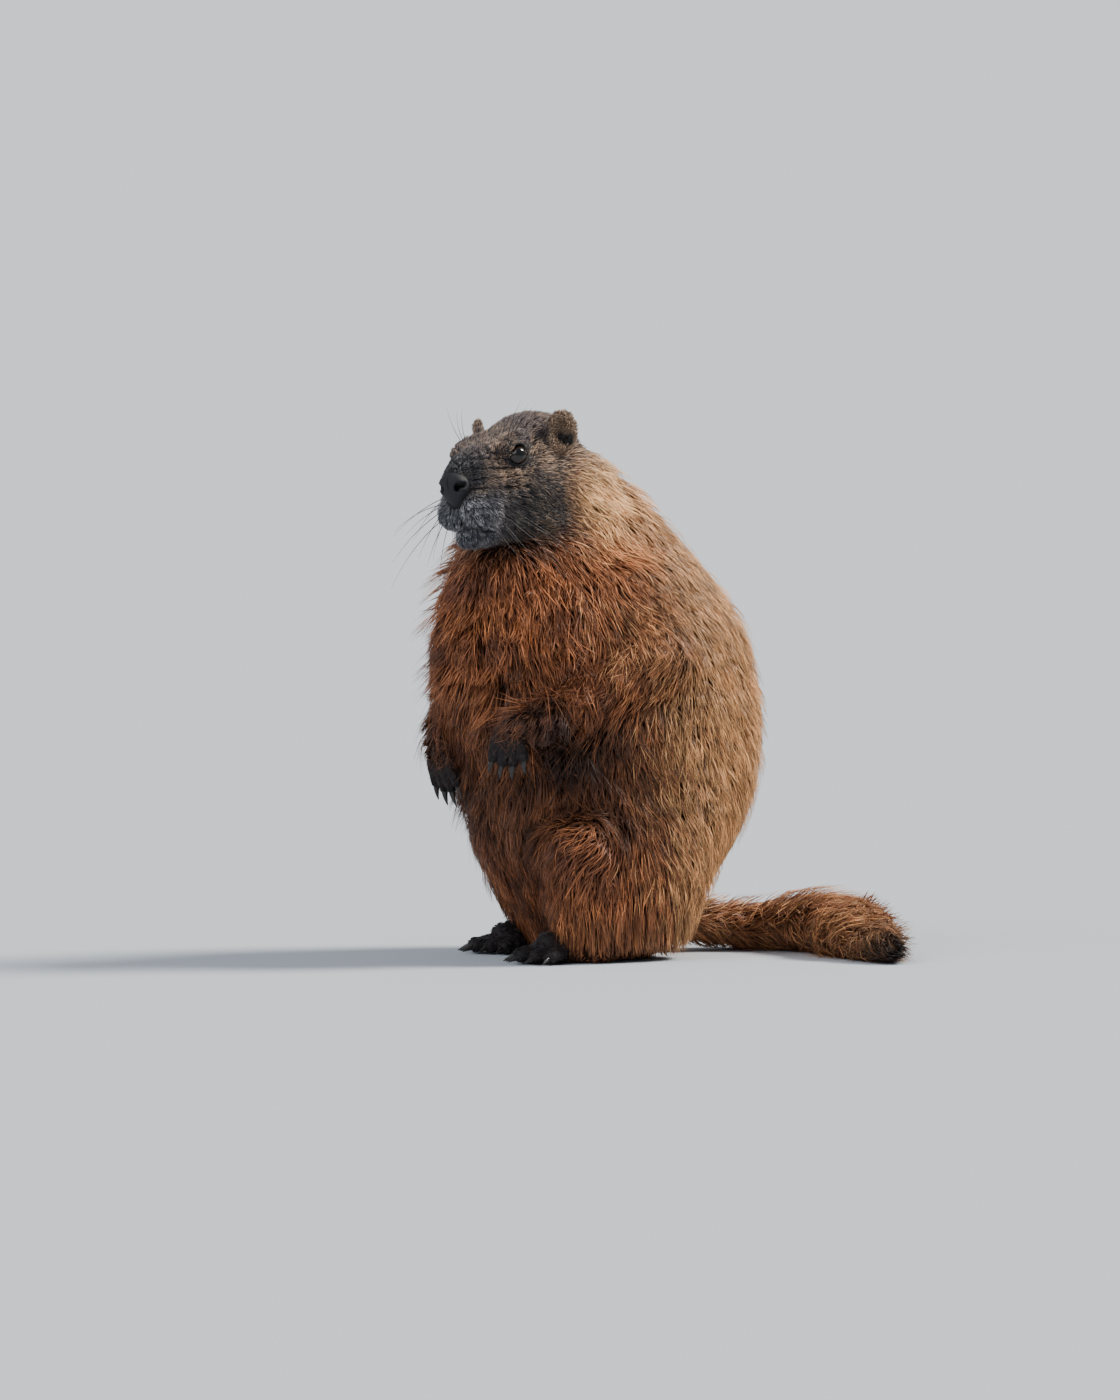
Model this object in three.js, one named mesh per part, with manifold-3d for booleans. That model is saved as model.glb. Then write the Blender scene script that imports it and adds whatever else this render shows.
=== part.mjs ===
// A yellow-bellied marmot standing up on its hind feet, life size, in millimetres.
// It faces -Y with its left side at +X, and stands on the floor at z = 0.
// Every piece is wrapped round one body form, a smooth blend of ellipsoids and tapered limbs,
// and neighbouring pieces are parted by cuts of GAP. All sizes are out to the tips of the coat.
import * as THREE from 'three';
import { mergeVertices } from 'three/addons/utils/BufferGeometryUtils.js';
import Module from 'manifold-3d';

const wasm = await Module();
wasm.setup();

// Driving sizes
const GAP = 0.3;
const TOUCH = 0.002;
const CLAW_BED = 0.8;
const CLAW_SUNK = 0.4;
const DRAW_IN = 0.02;
const EYE_RADIUS = 7;
const EYE_PLACE = [34.2, 20.5, -10.9];
const HEAD_CENTRE = [3, -53, 321];
const HEAD_TURN = 17;
const HEAD_ROLL = 6;
const EAR_PLACE = [3, 33, 1.5];
const EAR_RADII = [10.5, 4.5, 14];
const CUP_RADII = [7.4, 5, 10];
const FOOT_LENGTH = 74;
const ANKLE_HEIGHT = 30;
const REGION_ROOM = 6;
const FLAT_TAIL = 1.4;

// The coat: depth of its core below the tips, and the rows of flat tapered locks that cover it
const CORE_DEPTH = 9;
const NAPE_DEPTH = 3;
const NAPE_HEIGHTS = [250, 300];
const COAT_ROWS = [
  { z: 38, count: 11, length: 36, width: 46 },
  { z: 66, count: 8, length: 58, width: 58 },
  { z: 106, count: 8, length: 72, width: 62 },
  { z: 150, count: 8, length: 74, width: 63 },
  { z: 194, count: 8, length: 72, width: 62 },
  { z: 234, count: 7, length: 66, width: 54 },
  { z: 266, count: 7, length: 54, width: 44 },
  { z: 294, count: 7, length: 40, width: 32 },
  { z: 316, count: 7, length: 28, width: 24 },
];
const FRINGE_TIP = 3;
const LOCK_SHARES = [0, 0.36, 0.72, 1];
const LOCK_LEVELS = [-1.6, -0.85, -0.4, 0];
const LOCK_WIDTHS = [0.7, 1, 0.66];
const LOCK_THICKNESS = [4, 4.5, 3];
const TAIL_CORE = 0.62;
const TAIL_START = 0.1;
const TAIL_ROWS = 5;
const TAIL_COUNT = 5;
const TAIL_LOCK = 0.28;
const TAIL_LOCK_WIDTH = 22;
const TAIL_SHARES = [0.4, 0.72, 0.9, 1];

// The trunk from the rump up to the nape: height, middle along Y, half depth and half width
const TRUNK = [
  { at: 'seat', z: -10, y: 5, deep: 27, wide: 42 },
  { at: 'rump', z: 30, y: 5, deep: 49, wide: 68 },
  { at: 'haunch', z: 65, y: 9.5, deep: 77.5, wide: 82 },
  { at: 'belly', z: 110, y: 12.5, deep: 99, wide: 84 },
  { at: 'waist', z: 160, y: 5, deep: 109, wide: 84 },
  { at: 'chest', z: 205, y: -2, deep: 104, wide: 78 },
  { at: 'shoulder', z: 245, y: -13, deep: 81, wide: 62 },
  { at: 'neck', z: 270, y: -18, deep: 60, wide: 51 },
  { at: 'nape', z: 294, y: -27, deep: 42, wide: 42 },
  { at: 'crown', z: 322, y: -38, deep: 21, wide: 27 },
];
const TRUNK_TOP = 325;

// Fore limbs, left then right: shoulder, elbow, wrist and knuckles, and the lie of the digits
const ARMS = [
  { side: 'left', shoulder: [48, -8, 218], elbow: [66, 0, 188], wrist: [57, -70, 148],
    knuckles: [48, -89, 147], row: [4.5, 3.6, 0], digit: [-1, -3, -21] },
  { side: 'right', shoulder: [-48, -8, 218], elbow: [-66, -4, 186], wrist: [-36, -80, 148],
    knuckles: [-25, -92, 130], row: [6, 0.5, 0], digit: [2, 4, -23] },
];
const ARM_RADII = { shoulder: 30, elbow: 23, wrist: 13, palm: 11 };
const FINGERS = 4;
const FINGER_RADII = [4.6, 3.4];
const FINGER_SHARES = [0.86, 1, 1, 0.84];
const FINGER_FAN = 0.16;

// Hind limbs: the toes of the left foot are further forward than those of the right
const LEGS = [
  { side: 'left', sign: 1, toes: -88, ahead: 14, ankle: [52, -36, 10], ankleRadius: 24,
    hip: [48, -3.4, 50], thighRadii: [36, 52, 56], knee: [55, -44, 66], kneeRadius: 26 },
  { side: 'right', sign: -1, toes: -58, ahead: -4, ankle: [46, 12, 10], ankleRadius: 21,
    hip: [44, 9, 58], thighRadii: [30, 42, 46], knee: [50, -22, 74], kneeRadius: 24 },
];
const LEG_ROOM = { centre: [50, 6, 44], radii: [50, 66, 78] };
const TOES = 5;
const TOE_RADII = [5.5, 4.5];

// The tail sweeps back and round to the left along the floor: middle of the path, and size
const TAIL_PATH = [[-2, 44, 26], [4, 84, 18], [14, 106, 15], [32, 128, 15], [56, 138, 15],
  [84, 134, 15], [116, 124, 12], [152, 112, 8], [172, 106, 6]];
const TAIL_WIDTH = [16, 15, 17, 22, 27, 28, 24, 14, 3];
const TAIL_SPLIT = 0.36;

// Vectors as plain arrays
const plus = (a, b, k = 1) => a.map((v, i) => v + b[i] * k);
const minus = (a, b) => plus(a, b, -1);
const dot = (a, b) => a[0] * b[0] + a[1] * b[1] + a[2] * b[2];
const cross = (a, b) => [a[1] * b[2] - a[2] * b[1], a[2] * b[0] - a[0] * b[2], a[0] * b[1] - a[1] * b[0]];
const unit = (a) => a.map((v) => v / Math.hypot(...a));
const radians = THREE.MathUtils.degToRad;

// Forms: a form gives the distance of a point from its surface, negative inside
const UPRIGHT = [[1, 0, 0], [0, 1, 0], [0, 0, 1]];

function ellipsoid(centre, radii, axes = UPRIGHT) {
  return (point) => {
    const from = minus(point, centre);
    const share = axes.map((axis, i) => dot(from, axis) / radii[i]);
    const near = Math.hypot(...share);
    const slope = Math.hypot(...share.map((v, i) => v / radii[i])) + 1e-9;
    return (near * (near - 1)) / slope;
  };
}

function limb(start, end, startRadius, endRadius) {
  const along = minus(end, start);
  const length2 = dot(along, along);
  return (point) => {
    const from = minus(point, start);
    const t = Math.min(1, Math.max(0, dot(from, along) / length2));
    return Math.hypot(...plus(from, along, -t)) - startRadius - (endRadius - startRadius) * t;
  };
}

function softMin(a, b, k) {
  const h = Math.max(k - Math.abs(a - b), 0) / k;
  return Math.min(a, b) - (h * h * k) / 4;
}

function blend(k, ...forms) {
  return (point) => forms.reduce((d, form) => softMin(d, form(point), k), 1e3);
}

function hollowed(form, tool, k) {
  return (point) => -softMin(-form(point), tool(point), k);
}

function within(form, ...limits) {
  return (point) => limits.reduce((d, limit) => Math.max(d, limit(point)), form(point));
}

// Smooth values between the trunk's sections, by cubic Hermite curves
const SLOPES = TRUNK.map((_, i) => {
  const below = TRUNK[Math.max(0, i - 1)], above = TRUNK[Math.min(TRUNK.length - 1, i + 1)];
  const rise = above.z - below.z;
  const slope = (key) => (above[key] - below[key]) / rise;
  return { y: slope('y'), deep: slope('deep'), wide: slope('wide') };
});

function trunkAt(z, key) {
  let i = 0;
  while (i < TRUNK.length - 2 && z > TRUNK[i + 1].z) i += 1;
  const height = TRUNK[i + 1].z - TRUNK[i].z;
  const t = Math.min(1, Math.max(0, (z - TRUNK[i].z) / height));
  const t2 = t * t, t3 = t2 * t;
  return (2 * t3 - 3 * t2 + 1) * TRUNK[i][key] + (t3 - 2 * t2 + t) * height * SLOPES[i][key]
    + (3 * t2 - 2 * t3) * TRUNK[i + 1][key] + (t3 - t2) * height * SLOPES[i + 1][key];
}

function trunk(point) {
  const z = point[2];
  const deep = trunkAt(z, 'deep'), wide = trunkAt(z, 'wide');
  const across = point[0] / wide, back = (point[1] - trunkAt(z, 'y')) / deep;
  const near = Math.hypot(across, back);
  const slope = Math.hypot(across / wide, back / deep) + 1e-9;
  const round = near < 0.3 ? -0.7 * Math.min(deep, wide) : (near * (near - 1)) / slope;
  const below = -softMin(-round, TRUNK_TOP - z, 30);
  return -softMin(-below, z + 8, 16);
}

// The head has a frame of its own: forward, left and up
const turn = radians(HEAD_TURN), roll = radians(HEAD_ROLL);
const FORWARD = [Math.sin(turn), -Math.cos(turn), 0];
const LEVEL_LEFT = [Math.cos(turn), Math.sin(turn), 0];
const HEAD_LEFT = plus(LEVEL_LEFT.map((v) => v * Math.cos(roll)), [0, 0, 1], Math.sin(roll));
const HEAD_UP = plus([0, 0, Math.cos(roll)], LEVEL_LEFT, -Math.sin(roll));

function headWay(forward, left, up) {
  return plus(plus(FORWARD.map((v) => v * forward), HEAD_LEFT, left), HEAD_UP, up);
}

function headPoint(forward, left, up) {
  return plus(HEAD_CENTRE, headWay(forward, left, up));
}

// Axes of a head form whose long axis points down by `down` and outwards by `out` degrees
function headAxes(down, out = 0) {
  const d = radians(down), o = radians(out);
  const ahead = headWay(Math.cos(d), 0, -Math.sin(d));
  return [
    plus(ahead.map((v) => v * Math.cos(o)), HEAD_LEFT, Math.sin(o)),
    plus(HEAD_LEFT.map((v) => v * Math.cos(o)), ahead, -Math.sin(o)),
    headWay(Math.sin(d), 0, Math.cos(d)),
  ];
}

const headForm = (place, radii, down, out) => ellipsoid(headPoint(...place), radii, headAxes(down, out));
const SIDES = [1, -1];

function skull() {
  let form = headForm([-1, 0, -10], [35, 30.5, 26], 20);
  form = blend(12, form, headForm([40, 0, -16], [37, 18, 16], 16));
  form = blend(8, form, headForm([50, 0, -36], [22, 20, 20], 20));
  for (const s of SIDES) {
    form = blend(14, form, headForm([14, 17 * s, -34], [30, 17, 26], 25, 6 * s));
    form = blend(8, form, headForm([33, 18 * s, -3], [14, 8, 5.5], 25, 8 * s));
    form = blend(5, form, headForm([57, 9 * s, -42], [15.5, 11.5, 12], 20, 10 * s));
  }
  form = blend(5, form, headForm([53, 0, -57], [15.5, 12, 9], 15));
  form = blend(12, form, headForm([16, 0, -44], [34, 24, 18], 20));
  for (const s of SIDES) form = hollowed(form, headForm([34.5, 27.5 * s, -10.9], [7, 4, 6.5], 20, 10 * s), 4);
  return form;
}

const head = skull();
const arms = ARMS.map((arm) => {
  const r = ARM_RADII;
  return {
    ...arm,
    upper: limb(arm.shoulder, arm.elbow, r.shoulder, r.elbow),
    fore: limb(arm.elbow, arm.wrist, r.elbow, r.wrist),
    hand: limb(arm.wrist, arm.knuckles, r.wrist, r.palm),
  };
});
const legs = LEGS.map((leg) => {
  const mirror = ([x, y, z]) => [x * leg.sign, y, z];
  const heel = leg.toes + FOOT_LENGTH;
  return {
    ...leg,
    heel,
    thigh: ellipsoid(mirror(leg.hip), leg.thighRadii),
    shin: limb(mirror(leg.knee), mirror(leg.ankle), leg.kneeRadius, leg.ankleRadius),
    sole: limb(mirror([48, heel - 6, 10]), mirror([45, leg.toes + 26, 9]), 12, 11),
    mirror,
  };
});
const body = blend(18, blend(12, trunk, head), ...arms.map((arm) => blend(10, arm.upper, arm.fore)),
  ...legs.map((leg) => blend(16, leg.thigh, leg.shin)));

// The cut behind the jaw and ears, and the one where the neck meets the shoulders
const NAPE_CUT = unit(headWay(0.825, 0, 0.565));
const NAPE_OFFSET = dot(NAPE_CUT, headPoint(22, 0, -64));
const THROAT_CUT = HEAD_UP;
const THROAT_OFFSET = dot(THROAT_CUT, headPoint(0, 0, -67));
const SHOULDER_CUT = unit([0, -53, 135]);
const SHOULDER_OFFSET = dot(SHOULDER_CUT, [0, -105, 232]);

// Solids

function solidOf(geometry) {
  const bare = new THREE.BufferGeometry();
  bare.setAttribute('position', geometry.getAttribute('position'));
  bare.setIndex(geometry.index);
  const merged = mergeVertices(bare, 1e-3);
  return new wasm.Manifold(new wasm.Mesh({
    numProp: 3,
    vertProperties: merged.getAttribute('position').array,
    triVerts: new Uint32Array(merged.index.array),
  }));
}

// How far a ray goes from the inside of a form before it leaves it
function reach(form, origin, way) {
  let inside = 0, step = 0;
  for (let i = 0; i < 90; i += 1) {
    const depth = -form(plus(origin, way, inside));
    if (depth <= 0) break;
    step = Math.max(depth * 0.9, 0.3);
    if (form(plus(origin, way, inside + step)) > 0) break;
    inside += step;
  }
  let outside = inside + step;
  for (let i = 0; i < 14; i += 1) {
    const middle = (inside + outside) / 2;
    if (form(plus(origin, way, middle)) > 0) outside = middle;
    else inside = middle;
  }
  return inside;
}

function sideways(axis) {
  const up = Math.abs(axis[2]) < 0.8 ? [0, 0, 1] : [0, 1, 0];
  const first = unit(cross(up, axis));
  return [first, cross(axis, first)];
}

// A sphere's grid round the line from a to b, each vertex moved out to where the form ends
function wrap(form, a, b, rings, sides, grow = 0) {
  const geometry = new THREE.SphereGeometry(1, sides, rings);
  const place = geometry.getAttribute('position');
  const axis = unit(minus(b, a)), [first, second] = sideways(axis);
  const grown = (point) => form(point) - grow;
  for (let i = 0; i < place.count; i += 1) {
    const along = place.getY(i);
    const share = Math.min(1, Math.max(0, 0.5 + along * 0.62));
    const origin = plus(a, minus(b, a), share);
    const way = unit(plus(plus(axis.map((v) => v * along), first, place.getZ(i)), second, place.getX(i)));
    place.setXYZ(i, ...plus(origin, way, reach(grown, origin, way)));
  }
  return solidOf(geometry);
}

// A closed tube along a curve, whose half width and half height follow size(t) and close at both ends
function sleeve(curve, size, rings, sides, grow = 0) {
  const geometry = new THREE.SphereGeometry(1, sides, rings);
  const place = geometry.getAttribute('position');
  for (let i = 0; i < place.count; i += 1) {
    const t = Math.acos(THREE.MathUtils.clamp(-place.getY(i), -1, 1)) / Math.PI;
    const ring = Math.hypot(place.getX(i), place.getZ(i)) || 1;
    const centre = curve.getPointAt(t).toArray(), along = curve.getTangentAt(t).toArray();
    const [side, up] = sideways(along);
    const [wide, high] = size(t).map((v) => (v > 0 ? v + grow : v));
    const end = t < 1e-6 || t > 1 - 1e-6 ? 0 : 1;
    const out = plus(side.map((v) => (v * wide * end * place.getZ(i)) / ring), up, (high * end * place.getX(i)) / ring);
    place.setXYZ(i, ...plus(centre, out));
  }
  return solidOf(geometry);
}

const curveThrough = (points) => new THREE.CatmullRomCurve3(points.map((p) => new THREE.Vector3(...p)));

function largest(solid) {
  return solid.decompose().reduce((best, piece) => (piece.volume() > best.volume() ? piece : best));
}

const onFloor = (solid) => solid.trimByPlane([0, 0, 1], 0);

// Keeps the side of a plane that its normal points to, with half the gap left free
const keep = (solid, normal, offset) => solid.trimByPlane(normal, offset + GAP / 2);
const keepBehind = (solid, normal, offset) => keep(solid, normal.map((v) => -v), -offset);

const materials = {
  rust: new THREE.MeshStandardMaterial({ color: 0x8a4a24, roughness: 0.85 }),
  buff: new THREE.MeshStandardMaterial({ color: 0xb07a48, roughness: 0.85 }),
  face: new THREE.MeshStandardMaterial({ color: 0x3a2c26, roughness: 0.8 }),
  paw: new THREE.MeshStandardMaterial({ color: 0x241a18, roughness: 0.75 }),
  nose: new THREE.MeshStandardMaterial({ color: 0x101012, roughness: 0.45 }),
  claw: new THREE.MeshStandardMaterial({ color: 0x1c1815, roughness: 0.4 }),
  eye: new THREE.MeshStandardMaterial({ color: 0x0c0a0a, roughness: 0.08 }),
  tail: new THREE.MeshStandardMaterial({ color: 0x5a2f1c, roughness: 0.85 }),
};

const pieces = [];

function geometryOf(solid) {
  const { vertProperties, triVerts } = solid.getMesh();
  const geometry = new THREE.BufferGeometry();
  geometry.setAttribute('position', new THREE.BufferAttribute(vertProperties, 3));
  geometry.setIndex(new THREE.BufferAttribute(triVerts, 1));
  return geometry;
}

function addNode(name, solid, material) {
  pieces.push({ name, solid: largest(solid), material });
}

// Digits, each a short tapered limb with a flat bed on its tip, and the claws that stand on the beds
function clawCurve(tip, way, bed, length) {
  const first = bed - CLAW_SUNK, start = first - (length - first) / 3;
  return curveThrough([
    plus(tip, way, start), plus(tip, way, (start + length) / 2), plus(plus(tip, way, length), [0, 0, -length * 0.22]),
  ]);
}
const clawSize = (t) => [Math.max(0.35, 1.9 * (1 - t) ** 0.6), Math.max(0.4, 2.3 * (1 - t) ** 0.6)];

function digits(count, base, tip, radii, clawWay, clawLength) {
  return Array.from({ length: count }, (_, i) => {
    const start = base(i), end = tip(i), way = unit(clawWay(i));
    const form = limb(start, end, ...radii), bed = CLAW_BED * radii[1], face = dot(way, end) + bed;
    return {
      solid: wrap(form, start, end, 4, 6).trimByPlane(way.map((v) => -v), -face),
      grown: wrap(form, start, end, 4, 6, GAP),
      claw: sleeve(clawCurve(end, way, bed, clawLength), clawSize, 4, 5).trimByPlane(way, face + GAP),
    };
  });
}

const union = (solids) => solids.reduce((all, solid) => all.add(solid));

// A seeded random number from 0 to 1
let seed = 47;
function random() {
  seed = (seed * 16807) % 2147483647;
  return seed / 2147483647;
}

const spread = (amount) => (random() - 0.5) * 2 * amount;

// How deep the coat's core lies at a height: shallow where the neck meets the head
function coatDepth(z) {
  const share = THREE.MathUtils.smoothstep(z, ...NAPE_HEIGHTS);
  return THREE.MathUtils.lerp(CORE_DEPTH, NAPE_DEPTH, share);
}

function outward(form, point) {
  const at = (i, step) => form(point.map((v, k) => (k === i ? v + step : v)));
  return unit([0, 1, 2].map((i) => at(i, 1) - at(i, -1)));
}

// Moves a point to where the form has the given level
function toLevel(form, point, level) {
  let moved = point;
  for (let i = 0; i < 4; i += 1) moved = plus(moved, outward(form, moved), level - form(moved));
  return moved;
}

// A flat lock, three-cornered in section with its ridge outwards, that ends in a point
function lockSolid(stations, width) {
  const points = [], faces = [[0, 1, 2]];
  const last = stations.length - 1;
  stations.forEach(({ point, normal }, i) => {
    if (i === last) {
      points.push(point);
      return;
    }
    const along = unit(minus(stations[i + 1].point, point));
    const side = unit(cross(along, normal)), high = cross(side, along);
    const half = (width * LOCK_WIDTHS[i]) / 2;
    points.push(plus(point, side, half), plus(point, high, LOCK_THICKNESS[i]), plus(point, side, -half));
  });
  for (let i = 0; i < last; i += 1) {
    for (let k = 0; k < 3; k += 1) {
      const a = i * 3 + k, b = i * 3 + ((k + 1) % 3);
      if (i === last - 1) faces.push([a, last * 3, b]);
      else faces.push([a, b + 3, b], [a, a + 3, b + 3]);
    }
  }
  const geometry = new THREE.BufferGeometry();
  geometry.setAttribute('position', new THREE.Float32BufferAttribute(points.flat(), 3));
  geometry.setIndex(faces.flat());
  return solidOf(geometry);
}

// A lock that starts below the form's surface and runs along its lie up to the tips' level
function coatLock(form, start, lie, length, width) {
  let point = start;
  const stations = LOCK_SHARES.map((share, i) => {
    if (i > 0) {
      const normal = outward(form, point), way = lie(point);
      const flat = unit(plus(way, normal, -dot(way, normal)));
      point = plus(point, flat, length * (share - LOCK_SHARES[i - 1]));
    }
    point = toLevel(form, point, LOCK_LEVELS[i] * coatDepth(start[2]));
    return { point, normal: outward(form, point) };
  });
  return lockSolid(stations, width);
}

// The coat falls down, and on the neck back from the face as well
const SPINE = [[0, 10, 30], headPoint(-8, 0, -26)];
const fall = (point) => unit([0, point[2] > 250 ? 0.35 : 0.12, -1]);

// A lock of the fringe hangs straight down outside the leg, to just above the floor
function fringeLock(form, start, width) {
  const out = outward(form, start), level = unit([out[0], out[1], 0]);
  const stations = LOCK_SHARES.map((share, i) => ({
    point: plus(plus(start, level, LOCK_LEVELS[i] * CORE_DEPTH), [0, 0, FRINGE_TIP - start[2]], share),
    normal: level,
  }));
  return lockSolid(stations, width);
}

const besideLeg = (point) => point[0] > 40;

function coatOver(form) {
  const locks = [];
  COAT_ROWS.forEach((row, k) => {
    const middle = [0, trunkAt(row.z, 'y'), row.z];
    for (let i = 0; i < row.count; i += 1) {
      const angle = ((i + (k % 2) / 2 + spread(0.18)) / row.count) * 2 * Math.PI;
      const way = [Math.cos(angle), Math.sin(angle), 0];
      const start = plus(plus(middle, [0, 0, spread(5)]), way, reach(form, middle, way));
      const length = row.length * (1 + spread(0.15)), width = row.width * (1 + spread(0.15));
      if (k === 0 && besideLeg(start)) locks.push(fringeLock(form, start, row.width));
      else if (dot(start, NAPE_CUT) < NAPE_OFFSET) locks.push(coatLock(form, start, fall, length, width));
    }
  });
  return locks;
}

// Trunk and neck are wrapped as one core with its coat, and the pieces are cut from it
const coreForm = (point) => body(point) + coatDepth(point[2]);
const core = wrap(coreForm, ...SPINE, 18, 20);
const shankRoom = wrap(coreForm, ...SPINE, 18, 20, GAP).trimByPlane([0, 0, -1], -ANKLE_HEIGHT - GAP / 2);
const whole = onFloor(wasm.Manifold.union([core, ...coatOver(body)]));
const cuts = [];

for (const arm of arms) {
  const name = arm.side;
  const row = (i) => i - (FINGERS - 1) / 2;
  const base = (i) => plus(plus(arm.knuckles, [0, -3, -2]), arm.row, row(i));
  const lie = (i) => plus(arm.digit, arm.row, row(i) * FINGER_FAN).map((v) => v * FINGER_SHARES[i]);
  const fingers = digits(FINGERS, base, (i) => plus(base(i), lie(i)), FINGER_RADII,
    (i) => unit(plus(unit(lie(i)), [0, -0.15, 0])), 11);
  const elbowCut = unit(plus(unit(minus(arm.elbow, arm.shoulder)), unit(minus(arm.wrist, arm.elbow))));
  const elbowOffset = dot(elbowCut, arm.elbow);
  const wristCut = unit(minus(arm.knuckles, arm.wrist)), wristOffset = dot(wristCut, plus(arm.wrist, wristCut, -2));
  const upperRoom = limb(arm.shoulder, arm.elbow, ARM_RADII.shoulder + REGION_ROOM, ARM_RADII.elbow + REGION_ROOM);
  const foreRoom = limb(arm.elbow, arm.wrist, ARM_RADII.elbow + REGION_ROOM, ARM_RADII.wrist + 2);
  const upper = whole.intersect(wrap(upperRoom, arm.shoulder, arm.elbow, 7, 12));
  const fore = wrap(within(body, foreRoom), arm.elbow, arm.wrist, 8, 12);
  const palm = wrap(arm.hand, arm.wrist, arm.knuckles, 8, 10);
  const hand = union([palm, ...fingers.map((digit) => digit.solid)]);
  const room = [
    wrap(upperRoom, arm.shoulder, arm.elbow, 7, 12, GAP),
    wrap(foreRoom, arm.elbow, arm.wrist, 8, 12, GAP),
    wrap(arm.hand, arm.wrist, arm.knuckles, 8, 10, GAP),
    ...fingers.map((digit) => digit.grown),
  ];
  cuts.push(...room);
  addNode(`upper_arm_${name}`, keepBehind(upper, elbowCut, elbowOffset), materials.rust);
  addNode(`forearm_${name}`, keepBehind(keep(fore, elbowCut, elbowOffset), wristCut, wristOffset), materials.rust);
  addNode(`forepaw_${name}`, keep(hand, wristCut, wristOffset), materials.paw);
  fingers.forEach((digit, i) => addNode(`foreclaw_${name}_${i + 1}`, digit.claw, materials.claw));
}

for (const leg of legs) {
  const { side: name, mirror } = leg;
  const fan = (i) => i - (TOES - 1) / 2;
  const base = (i) => mirror([45 + fan(i) * 6, leg.toes + 26, 7]);
  const tip = (i) => mirror([46 + fan(i) * 8.5, leg.toes + Math.abs(fan(i)) * 5 + 4, 4.8]);
  const toes = digits(TOES, base, tip, TOE_RADII, (i) => unit(plus(unit(minus(tip(i), base(i))), [0, 0, 0.05])), 10);
  const sole = (grow) => wrap(leg.sole, mirror([48, leg.heel - 6, 10]), mirror([45, leg.toes + 26, 9]), 8, 10, grow);
  const foot = union([sole(0), ...toes.map((toe) => toe.solid)]);
  const room = (grow) => {
    const centre = plus(mirror(LEG_ROOM.centre), [0, -leg.ahead * 0.8, 0]);
    return wrap(ellipsoid(centre, LEG_ROOM.radii), centre, plus(centre, [0, 0, 1]), 10, 16, grow);
  };
  const footRoom = union([sole(GAP), ...toes.map((toe) => toe.grown)]);
  const haunch = whole.intersect(room(0)).subtract(footRoom);
  const shank = keepBehind(onFloor(core).intersect(room(0)), [0, 0, 1], ANKLE_HEIGHT).subtract(footRoom);
  cuts.push(room(GAP), footRoom);
  addNode(`thigh_${name}`, haunch.subtract(shankRoom), materials.rust);
  addNode(`shank_${name}`, shank, materials.rust);
  addNode(`hind_foot_${name}`, onFloor(foot), materials.paw);
  toes.forEach((toe, i) => addNode(`hind_claw_${name}_${i + 1}`, toe.claw, materials.claw));
}

// Tail
const tailCurve = curveThrough(TAIL_PATH);
const tailSize = (t) => {
  const place = t * (TAIL_WIDTH.length - 1), i = Math.min(TAIL_WIDTH.length - 2, Math.floor(place));
  const wide = THREE.MathUtils.lerp(TAIL_WIDTH[i], TAIL_WIDTH[i + 1], place - i);
  return [wide, wide / FLAT_TAIL];
};

// A point round the tail, at a share of the way from its middle line out to the tips
function tailPoint(t, angle, share) {
  const along = tailCurve.getTangentAt(t).toArray(), [side, up] = sideways(along);
  const [wide, high] = tailSize(t);
  const out = plus(side.map((v) => v * wide * Math.cos(angle)), up, high * Math.sin(angle));
  return { point: plus(tailCurve.getPointAt(t).toArray(), out, share), normal: unit(out) };
}

const tailLocks = [];
for (let row = 0; row < TAIL_ROWS; row += 1) {
  for (let i = 0; i < TAIL_COUNT; i += 1) {
    const from = TAIL_START + ((1 - TAIL_START - 0.06) * (row + spread(0.2) + 0.2)) / TAIL_ROWS;
    const angle = ((i + (row % 2) / 2 + spread(0.2)) / TAIL_COUNT) * 2 * Math.PI;
    const stations = LOCK_SHARES.map((share, k) => (
      tailPoint(Math.min(0.995, from + TAIL_LOCK * share), angle + 0.1 * k, TAIL_SHARES[k])));
    tailLocks.push(lockSolid(stations, TAIL_LOCK_WIDTH));
  }
}
const tailCore = sleeve(tailCurve, (t) => tailSize(t).map((v) => v * TAIL_CORE), 14, 9);
const tail = onFloor(wasm.Manifold.union([tailCore, ...tailLocks]));
const tailCut = tailCurve.getTangentAt(TAIL_SPLIT).toArray();
const tailOffset = dot(tailCut, tailCurve.getPointAt(TAIL_SPLIT).toArray());
cuts.push(sleeve(tailCurve, (t) => tailSize(t).map((v) => v * TAIL_CORE), 14, 9, GAP));
const legRooms = union(cuts.slice(0, -1));
addNode('tail_root', keepBehind(tail, tailCut, tailOffset).subtract(legRooms), materials.tail);
addNode('tail_brush', keep(tail, tailCut, tailOffset), materials.tail);

// Trunk, neck and head
const allCuts = union(cuts);
const headSide = solidOf(new THREE.BoxGeometry(400, 400, 400).translate(...HEAD_CENTRE))
  .trimByPlane(NAPE_CUT, NAPE_OFFSET - GAP / 2).trimByPlane(THROAT_CUT, THROAT_OFFSET - GAP / 2);
const neck = keep(whole, SHOULDER_CUT, SHOULDER_OFFSET).subtract(headSide);
addNode('torso', keepBehind(whole, SHOULDER_CUT, SHOULDER_OFFSET).subtract(allCuts), materials.rust);
addNode('neck', neck.subtract(allCuts), materials.buff);

const headSkin = (grow) => wrap(blend(12, trunk, head), headPoint(-6, 0, -16), headPoint(50, 0, -34), 24, 24, grow);
const skin = headSkin(0);

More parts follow.
